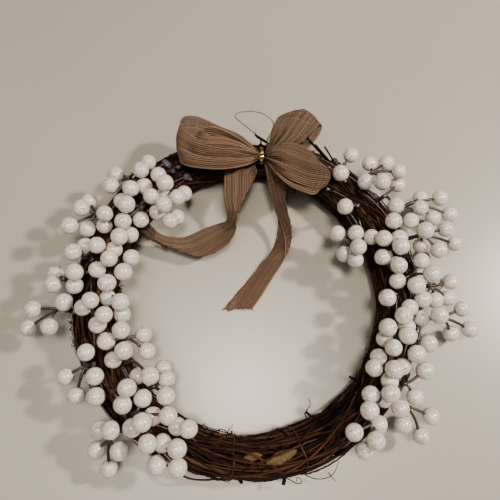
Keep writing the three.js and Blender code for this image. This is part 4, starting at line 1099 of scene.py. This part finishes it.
def make_bead(material):
    """A round bead with a hole, which sits against the front of the tie."""
    shape = Shape()
    cos, sin = math.cos(BEAD_ANGLE), math.sin(BEAD_ANGLE)
    out = unit(np.array([0.0, cos / TIE[0], sin / TIE[1]]))
    off = TIE_RADIUS + CLEARANCE + BEAD_RADIUS
    centre = KNOT + np.array([-0.5, TIE[0] * cos, TIE[1] * sin]) + out * off
    way = np.cross([1.0, 0.0, 0.0], out)
    hole = 0.7
    start = math.asin(hole / BEAD_RADIUS)
    profile = [(BEAD_RADIUS * math.sin(p), -BEAD_RADIUS * math.cos(p))
               for p in np.linspace(start, np.pi - start, 17)]
    profile += [(hole, BEAD_RADIUS * 0.6), (hole, 0.0), (hole, -BEAD_RADIUS * 0.6)]
    segments = 32
    corners = []
    for r, x in profile:
        for k in range(segments):
            a = 2 * np.pi * k / segments
            corners.append(centre + way * x + np.array([r * math.cos(a), 0, 0]) + out * (r * math.sin(a)))
    shape.add(corners, bands(len(profile), segments, closed=True))
    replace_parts(make_piece("bow_bead", shape, material), "gold_bead")


def make_hanger(material):
    """The hanger: one thin wire, doubled back and twisted at its two feet."""
    shape = Shape()
    route = evenly(HANGER_ROUTE, 1.0)
    tube(shape, route, 0.44, 8)
    foot = round(0.17 * len(route))
    for piece in (route[:foot], route[::-1][:foot]):
        u, v = carried(piece)
        t = np.linspace(0, 1, foot)
        turn = 2 * np.pi * 1.8 * t
        apart = 0.85 + 0.7 * t**3
        second = piece + (u * np.cos(turn)[:, None] + v * np.sin(turn)[:, None]) * apart[:, None]
        tube(shape, second, 0.4, 7)
    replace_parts(make_piece("hanger_wires", shape, material), "hanger_loop")


# Glue
def surface_under(x, y):
    """The top of the vines where x, y is seen."""
    p = seen((x, y, RING_HEIGHT + BUNDLE_RADIUS))
    for _ in range(8):
        away = math.hypot(p[0], p[1]) - RING_RADIUS
        rise = math.sqrt(max(BUNDLE_RADIUS**2 - away**2, 1))
        p = seen((x, y, RING_HEIGHT + rise))
    return p


def add_blob(shape, centre, size, rng):
    """A rounded lump, uneven all over."""
    rings = 12
    segments = 20
    lean = rng.normal(0, 1, (5, 3))
    corners = []
    for i in range(rings + 1):
        lat = np.pi * i / rings
        for k in range(segments):
            lon = 2 * np.pi * k / segments
            d = np.array([math.sin(lat) * math.cos(lon), math.sin(lat) * math.sin(lon), math.cos(lat)])
            wave = 1 + 0.09 * sum(math.sin(2.2 * float(np.dot(way, d)) + way[0] * 3) for way in lean)
            corners.append(centre + d * np.array(size) * wave)
    shape.add(corners, [(a, d, c, b) for a, b, c, d in bands(rings + 1, segments)])


def make_glue(material, hub_material, sprigs):
    rng = np.random.default_rng(31)
    for number, (x, y, radius) in enumerate(GLUE_SPOTS, 1):
        shape = Shape()
        top = surface_under(x, y)
        beside = top + np.array([radius * 0.5, -radius * 0.35, -0.4])
        add_blob(shape, top + np.array([0, 0, 0.2]), (radius * 0.8, radius * 0.72, 2.8), rng)
        add_blob(shape, beside, (radius * 0.5, radius * 0.45, 2.0), rng)
        blob = make_piece(f"glue_lump_{number}", shape, material)
        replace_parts(blob, f"glue_blob_{number}")
    bits = Shape()
    for x, y, radius in EXTRA_GLUE:
        add_blob(bits, surface_under(x, y) - np.array([0, 0, 0.4]), (radius, radius * 0.8, 1.5), rng)
    # A dab at the foot of each stem, and a paler one at each hub
    for sprig in sprigs:
        foot = sprig["root"] + sprig["way"] * (BUNDLE_RADIUS - STEM_REACH + 0.4)
        add_blob(bits, foot + rng.normal(0, 0.5, 3), rng.uniform(1.5, 2.5, 3) * (1, 1, 0.75), rng)
    pale = Shape()
    for sprig in sprigs:
        place = sprig["hub"] - sprig["way"] * rng.uniform(-0.4, 1.2)
        add_blob(pale, place, rng.uniform(1.1, 1.6, 3), rng)
    make_piece("hub_dabs", pale, hub_material)
    for start, end in GLUE_STRINGS:
        sag = np.array([0, 0, -1.5]) + rng.normal(0, 0.8, 3)
        tube(bits, bent(seen(start), seen(end), sag, 14), 0.13, 5)
    make_piece("glue_bits", bits, material)


# Dry leaf scraps
def make_leaves(material):
    """Curled scraps of leaf: two faces with a rim between them, a rib, side veins and one torn edge."""
    rng = np.random.default_rng(41)
    steps, strips = 34, 12
    row = strips + 1
    per = (steps + 1) * row
    for number, (foot, tip, width, height) in enumerate(LEAVES, 1):
        shape = Shape()
        start = seen((foot[0], foot[1], height - 1))
        line = seen((tip[0], tip[1], height)) - start
        side = unit(np.array([-line[1], line[0], 0.0]))
        ragged = smoothed(rng.normal(0, 1, steps + 1), 1)
        corners = []
        veins = []
        for face in (1, -1):
            for i in range(steps + 1):
                t = i / steps
                half = width * 0.5 * math.sin(math.pi * min(t * 0.94 + 0.05, 1)) ** 0.8
                for j in range(row):
                    s = 2 * j / strips - 1
                    torn = 1 + (0.16 * ragged[i] if s < -0.5 else 0.05 * ragged[i]) * abs(s)
                    arch = 1.2 * (1 - s * s) + 1.2 * math.sin(math.pi * t) + 0.3 * math.sin(9 * t + 2 * s)
                    curl = 0.9 * max(s - 0.3, 0) ** 2 - 0.45 * math.exp(-((s * 5) ** 2))
                    ripple = 0.16 * math.sin(24 * t - 7 * abs(s))
                    p = start + line * t + side * half * s * torn
                    corners.append(p + np.array([0, 0, arch + curl + ripple + face * 0.14]))
                    veins.append((t * np.linalg.norm(line), s * half, face))
        faces = []
        for i in range(steps):
            for j in range(strips):
                a = i * row + j
                faces.append((a, a + row, a + row + 1, a + 1))
                faces.append((per + a, per + a + 1, per + a + row + 1, per + a + row))
        rim = list(range(row))
        rim += [i * row + strips for i in range(1, steps + 1)]
        rim += [steps * row + j for j in range(strips - 1, -1, -1)]
        rim += [i * row for i in range(steps - 1, 0, -1)]
        faces += [(a, b, per + b, per + a) for a, b in zip(rim, rim[1:] + rim[:1])]
        shape.add(corners, faces, vein=np.array(veins))
        top = start + np.array([0, 0, 1.0]) + line * 0.06
        bottom = np.array(on_centre_line(start)) * 0.38 + start * 0.62
        tube(shape, bent(bottom, top, (0.4, 0.2, 0), 8), 0.55, 6, vein=np.zeros((9 * 6, 3)))
        leaf = make_piece(f"leaf_scrap_{number}", shape, material)
        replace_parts(leaf, f"dry_leaf_{number}")


# Binding wires
def make_bindings(material):
    """Thin wires, each wrapped once round the bundle and twisted together below it."""
    rng = np.random.default_rng(53)
    count = 96
    around = 360 * np.arange(count) / count
    for number, ring_angle in enumerate(BINDING_ANGLES, 1):
        shape = Shape()
        wander = 1.5 * np.sin(np.radians(around)) + 0.25 * np.sin(np.radians(around * 5 + 40 * number))
        off = 0.3 * np.sin(np.radians(around * 7 + 25)) - 0.1
        route = held_up(on_bundle(ring_angle + wander, around, off), 0.62)
        tube(shape, route, 0.5, 7, reference=route - in_bundle(ring_angle, around, 0.0), closed=True,
             wrap=np.arange(count) * 1.2, tone=0.3)
        knot = on_bundle(ring_angle, 205, -0.2)
        for side in (0.0, np.pi):
            s = np.linspace(0, 1, 20)
            twist = 2 * np.pi * 2 * s + side
            along = 3.2 * s + rng.uniform(0, 0.2)
            tail = knot + np.stack([0.5 * np.cos(twist), along, 0.5 * np.sin(twist)], -1)
            tube(shape, tail, 0.42, 6, wrap=s * 8, tone=0.3)
        wrap = make_piece(f"binding_wrap_{number}", shape, material)
        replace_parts(wrap, f"binding_wire_{number}")


# Looks
class Value:
    """What a node puts out. Sums and comparisons of values make further nodes."""

    def __init__(self, look, socket):
        self.look = look
        self.socket = socket

    def __add__(self, other):
        return self.look.math("ADD", self, other)

    def __sub__(self, other):
        return self.look.math("SUBTRACT", self, other)

    def __mul__(self, other):
        return self.look.math("MULTIPLY", self, other)

    def __gt__(self, other):
        return self.look.math("GREATER_THAN", self, other)

    def __lt__(self, other):
        return self.look.math("LESS_THAN", self, other)


class Look:
    """A material, and the nodes that give it colour, gloss and relief."""

    def __init__(self, name, roughness, metallic=0.0):
        self.material = bpy.data.materials.new(name)
        self.material.use_nodes = True
        self.tree = self.material.node_tree
        self.set("Roughness", roughness)
        self.set("Metallic", metallic)
        self.set("Base Color", (0.5, 0.5, 0.5, 1))

    def set(self, name, value):
        self.give(self.tree.nodes["Principled BSDF"].inputs[name], value)

    def give(self, socket, value):
        if isinstance(value, Value):
            self.tree.links.new(value.socket, socket)
        else:
            socket.default_value = value

    def node(self, kind, inputs=(), out=0, **settings):
        """A new node. Its inputs are listed in turn, or by name or number."""
        made = self.tree.nodes.new("ShaderNode" + kind)
        for name, setting in settings.items():
            setattr(made, name, setting)
        for key, value in inputs.items() if isinstance(inputs, dict) else enumerate(inputs):
            self.give(made.inputs[key], value)
        return Value(self, made.outputs[out])

    def math(self, operation, *values, clamp=False):
        return self.node("Math", values, operation=operation, use_clamp=clamp)

    def mark(self, name, out="Fac"):
        return self.node("Attribute", out=out, attribute_name=name)

    def noise(self, vector, scale, detail, roughness=0.55):
        inputs = {"Vector": vector, "Scale": scale, "Detail": detail, "Roughness": roughness}
        return self.node("TexNoise", inputs)

    def speckle(self, scale, detail):
        """Noise in the space of the piece."""
        return self.noise(self.node("TexCoord", out="Object"), scale, detail)

    def grained(self, vector, stretch, detail, roughness=0.55):
        """Noise in stretched space."""
        place = self.node("VectorMath", (vector, stretch), operation="MULTIPLY")
        return self.noise(place, 1.0, detail, roughness)

    def ramp(self, source, *stops):
        value = self.node("ValToRGB", (source,))
        elements = value.socket.node.color_ramp.elements
        while len(elements) < len(stops):
            elements.new(0.5)
        for element, (position, colour) in zip(elements, stops):
            element.position = position
            element.color = (*colour, 1)
        return value

    def mixed(self, share, first, colour):
        return self.node("Mix", {0: share, 6: first, 7: (*colour, 1)}, 2, data_type="RGBA")

    def relief(self, height, strength, distance):
        self.set("Normal", self.node("Bump", {"Height": height, "Strength": strength, "Distance": distance}))


def bark_look():
    look = Look("grapevine_bark", 0.72)
    grain = look.mark("grain", "Vector")
    fibres = look.grained(grain, (1.9, 1.9, 0.07), 5.0, 0.62)
    patches = look.grained(grain, (0.16, 0.16, 0.045), 2.0)
    lightness = look.mark("tone") * 0.66 + (patches - 0.5) * 0.5
    lightness = look.math("ADD", lightness, (fibres - 0.4) * 0.5, clamp=True)
    colour = look.ramp(lightness, (0.0, (0.002, 0.0005, 0.0002)), (0.3, (0.012, 0.0031, 0.0012)),
                       (0.6, (0.038, 0.0122, 0.0046)), (1.0, (0.105, 0.059, 0.031)))
    look.set("Base Color", colour)
    look.set("Roughness", fibres * 0.3 + 0.48)
    look.set("Specular IOR Level", 0.12)
    look.relief(fibres, 0.5, 0.0004)
    return look.material


def berry_look():
    look = Look("lacquered_foam", 0.3)
    mottle = look.speckle(420.0, 3.0)
    white = look.ramp(mottle, (0.36, (0.44, 0.39, 0.352)), (0.64, (0.73, 0.68, 0.628)))
    white = look.mixed(look.mark("tone") * 0.35, white, (0.70, 0.62, 0.58))
    pole = look.mark("pole")
    stalk_point = (pole > 0.9975) * look.mark("spot")
    colour = look.mixed(stalk_point * 0.75, white, (0.16, 0.11, 0.09))
    look.set("Base Color", look.mixed(look.mark("dot") > 0.68, colour, (0.06, 0.012, 0.01)))
    look.set("Roughness", mottle * 0.2 + 0.14)
    look.set("Coat Weight", 0.5)
    look.set("Coat Roughness", 0.12)
    seam = look.math("ABSOLUTE", pole) < 0.016
    look.relief(seam * 0.6 + (look.speckle(1500.0, 2.0) + mottle), 0.22, 0.0002)
    return look.material


def stalk_look():
    look = Look("paper_wrapped_wire", 0.36)
    fuzz = look.speckle(900.0, 3.0)
    ridge = look.math("SINE", look.mark("wrap") * 3.4 + fuzz * 2.0)
    shade = look.math("ADD", ridge * 0.22, look.mark("tone") * 0.4 + fuzz * 0.4, clamp=True)
    look.set("Base Color", look.ramp(shade, (0.0, (0.008, 0.005, 0.004)), (0.5, (0.028, 0.018, 0.0155)),
                                     (1.0, (0.10, 0.073, 0.063))))
    look.set("Specular IOR Level", 0.7)
    look.relief(shade, 0.5, 0.0003)
    return look.material


def ribbon_look():
    look = Look("jute_yarn", 0.85)
    grain = look.mark("grain", "Vector")
    fibres = look.grained(grain, (3.0, 3.0, 0.5), 3.0)
    slubs = look.grained(grain, (0.1, 0.1, 0.06), 2.0)
    shade = look.math("ADD", look.mark("tone") * 0.45, fibres * 0.45 + slubs * 0.35, clamp=True)
    look.set("Base Color", look.ramp(shade, (0.0, (0.030, 0.015, 0.008)), (0.5, (0.100, 0.056, 0.033)),
                                     (1.0, (0.22, 0.14, 0.091))))
    look.set("Sheen Weight", 0.06)
    look.set("Sheen Roughness", 0.5)
    look.set("Specular IOR Level", 0.15)
    look.relief(fibres, 0.4, 0.0002)
    return look.material


def leaf_look():
    look = Look("dry_leaf", 0.75)
    vein = look.mark("vein", "Vector")
    split = look.node("SeparateXYZ", (vein,)).socket.node
    along, across = (Value(look, split.outputs[axis]) for axis in "XY")
    aside = look.math("ABSOLUTE", across)
    side_veins = look.math("SINE", along * 2.6 - aside * 2.2) > 0.93
    lines = look.math("MAXIMUM", side_veins, aside < 0.22)
    blotches = look.grained(vein, (0.5, 0.5, 1.0), 4.0, 0.65)
    base = look.ramp(blotches, (0.25, (0.032, 0.015, 0.004)), (0.5, (0.078, 0.043, 0.011)),
                     (0.8, (0.135, 0.084, 0.024)))
    look.set("Base Color", look.mixed(lines * 0.3, base, (0.15, 0.1, 0.035)))
    look.relief(blotches + lines, 0.5, 0.0003)
    return look.material


def speckled_look(name, roughness, metallic, scale, detail, low, high, gloss=None, relief=None, **more):
    """A look that one noise mottles. low and high are its colours at two values of the noise, gloss is how
    much the noise adds to a least roughness, and relief its strength and depth."""
    look = Look(name, roughness, metallic)
    speckle = look.speckle(scale, detail)
    look.set("Base Color", look.ramp(speckle, low, high))
    if gloss:
        look.set("Roughness", speckle * gloss[0] + gloss[1])
    if relief:
        look.relief(speckle, *relief)
    for key, value in more.items():
        look.set(key, value)
    return look.material


# Stage, light and camera
def make_camera():
    """The camera that the photograph's frame was fitted with."""
    data = bpy.data.cameras.new("camera")
    data.sensor_width = 36.0
    data.lens = 36.0
    data.clip_start = 0.01
    data.clip_end = 20.0
    camera = placed("camera", data)
    right = Vector((0.9994, -0.0094, 0.0342))
    up = Vector((0.0, 0.9643, 0.2649))
    back = Vector((-0.0355, -0.2647, 0.9637))
    turn = Matrix((right, up, back)).transposed().to_4x4()
    camera.matrix_world = Matrix.Translation(Vector(((EYE - MIDDLE) * MM).tolist())) @ turn
    bpy.context.scene.camera = camera


def make_stage():
    data = bpy.data.meshes.new("floor")
    half = 2.5
    data.from_pydata([(-half, -half, 0), (half, -half, 0), (half, half, 0), (-half, half, 0)], [],
                     [(0, 1, 2, 3)])
    data.materials.append(speckled_look("pale_floor", 0.32, 0.0, 2.5, 2.0, (0.3, (0.345, 0.325, 0.285)),
                                        (0.7, (0.385, 0.363, 0.318))))
    placed("floor", data)
    world = bpy.data.worlds.new("room")
    world.use_nodes = True
    background = world.node_tree.nodes["Background"]
    background.inputs["Color"].default_value = (1.0, 0.92, 0.80, 1)
    background.inputs["Strength"].default_value = 0.05
    bpy.context.scene.world = world


def make_light(name, place, size, power, colour):
    """A round lamp that shines on the middle of the part."""
    data = bpy.data.lights.new(name, "AREA")
    data.shape = "DISK"
    data.size = size
    data.energy = power
    data.color = colour
    light = placed(name, data)
    light.location = place
    light.rotation_euler = (-Vector(place)).to_track_quat("-Z", "Y").to_euler()


make_camera()
make_stage()
make_light("lamp_right", (1.15, 0.25, 1.25), 0.14, 36.0, (1.0, 0.88, 0.73))
make_light("lamp_top", (0.05, -0.1, 1.85), 0.35, 26.0, (1.0, 0.89, 0.75))
make_light("soft_overhead", (-0.5, -0.2, 1.9), 1.0, 11.0, (1.0, 0.90, 0.78))

bark = bark_look()
make_bundle(bark)
make_outer_vines(bark)
make_loose_vines(bark)

berry_white = berry_look()
stalk_brown = stalk_look()
berry_rng = np.random.default_rng(3)
wire_rng = np.random.default_rng(4)
sprigs = settled_sprigs()
for sprig in sprigs:
    berries = Shape()
    for place in sprig["berries"]:
        add_berry(berries, sprig["hub"], place, berry_rng)
    piece = make_piece(f"berries_{sprig['name']}", berries, berry_white)
    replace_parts(piece, f"berry_sprig_{sprig['name']}")
    stalks = Shape()
    add_stalks(stalks, sprig, berry_rng)
    add_tucked_wires(stalks, sprig, wire_rng)
    make_piece(f"stalks_{sprig['name']}", stalks, stalk_brown)

make_ribbon(ribbon_look())
make_tie(speckled_look("dull_gold_wire", 0.36, 0.9, 600.0, 3.0, (0.3, (0.24, 0.165, 0.045)),
                       (0.75, (0.46, 0.34, 0.12)), gloss=(0.25, 0.25)))
make_bead(speckled_look("polished_gold", 0.2, 1.0, 700.0, 3.0, (0.3, (0.66, 0.46, 0.16)),
                        (0.75, (0.86, 0.66, 0.27)), gloss=(0.22, 0.1), relief=(0.1, 0.0002)))
make_hanger(speckled_look("olive_wire", 0.42, 0.5, 420.0, 4.0, (0.25, (0.085, 0.082, 0.036)),
                          (0.8, (0.20, 0.19, 0.095)), gloss=(0.3, 0.25)))
clear_glue = speckled_look("hot_glue", 0.22, 0.0, 330.0, 3.0, (0.3, (0.10, 0.107, 0.138)),
                           (0.75, (0.225, 0.24, 0.285)), gloss=(0.25, 0.12), relief=(0.25, 0.0006),
                           **{"Transmission Weight": 0.45, "IOR": 1.48})
cloudy_dabs = speckled_look("cloudy_dab", 0.25, 0.0, 700.0, 3.0, (0.35, (0.07, 0.06, 0.056)),
                            (0.7, (0.31, 0.285, 0.275)), relief=(0.4, 0.0006))
make_glue(clear_glue, cloudy_dabs, sprigs)
make_leaves(leaf_look())
make_bindings(speckled_look("dark_binding_wire", 0.45, 0.4, 300.0, 4.0, (0.3, (0.02, 0.012, 0.009)),
                            (0.7, (0.075, 0.036, 0.02)), gloss=(0.4, 0.25)))
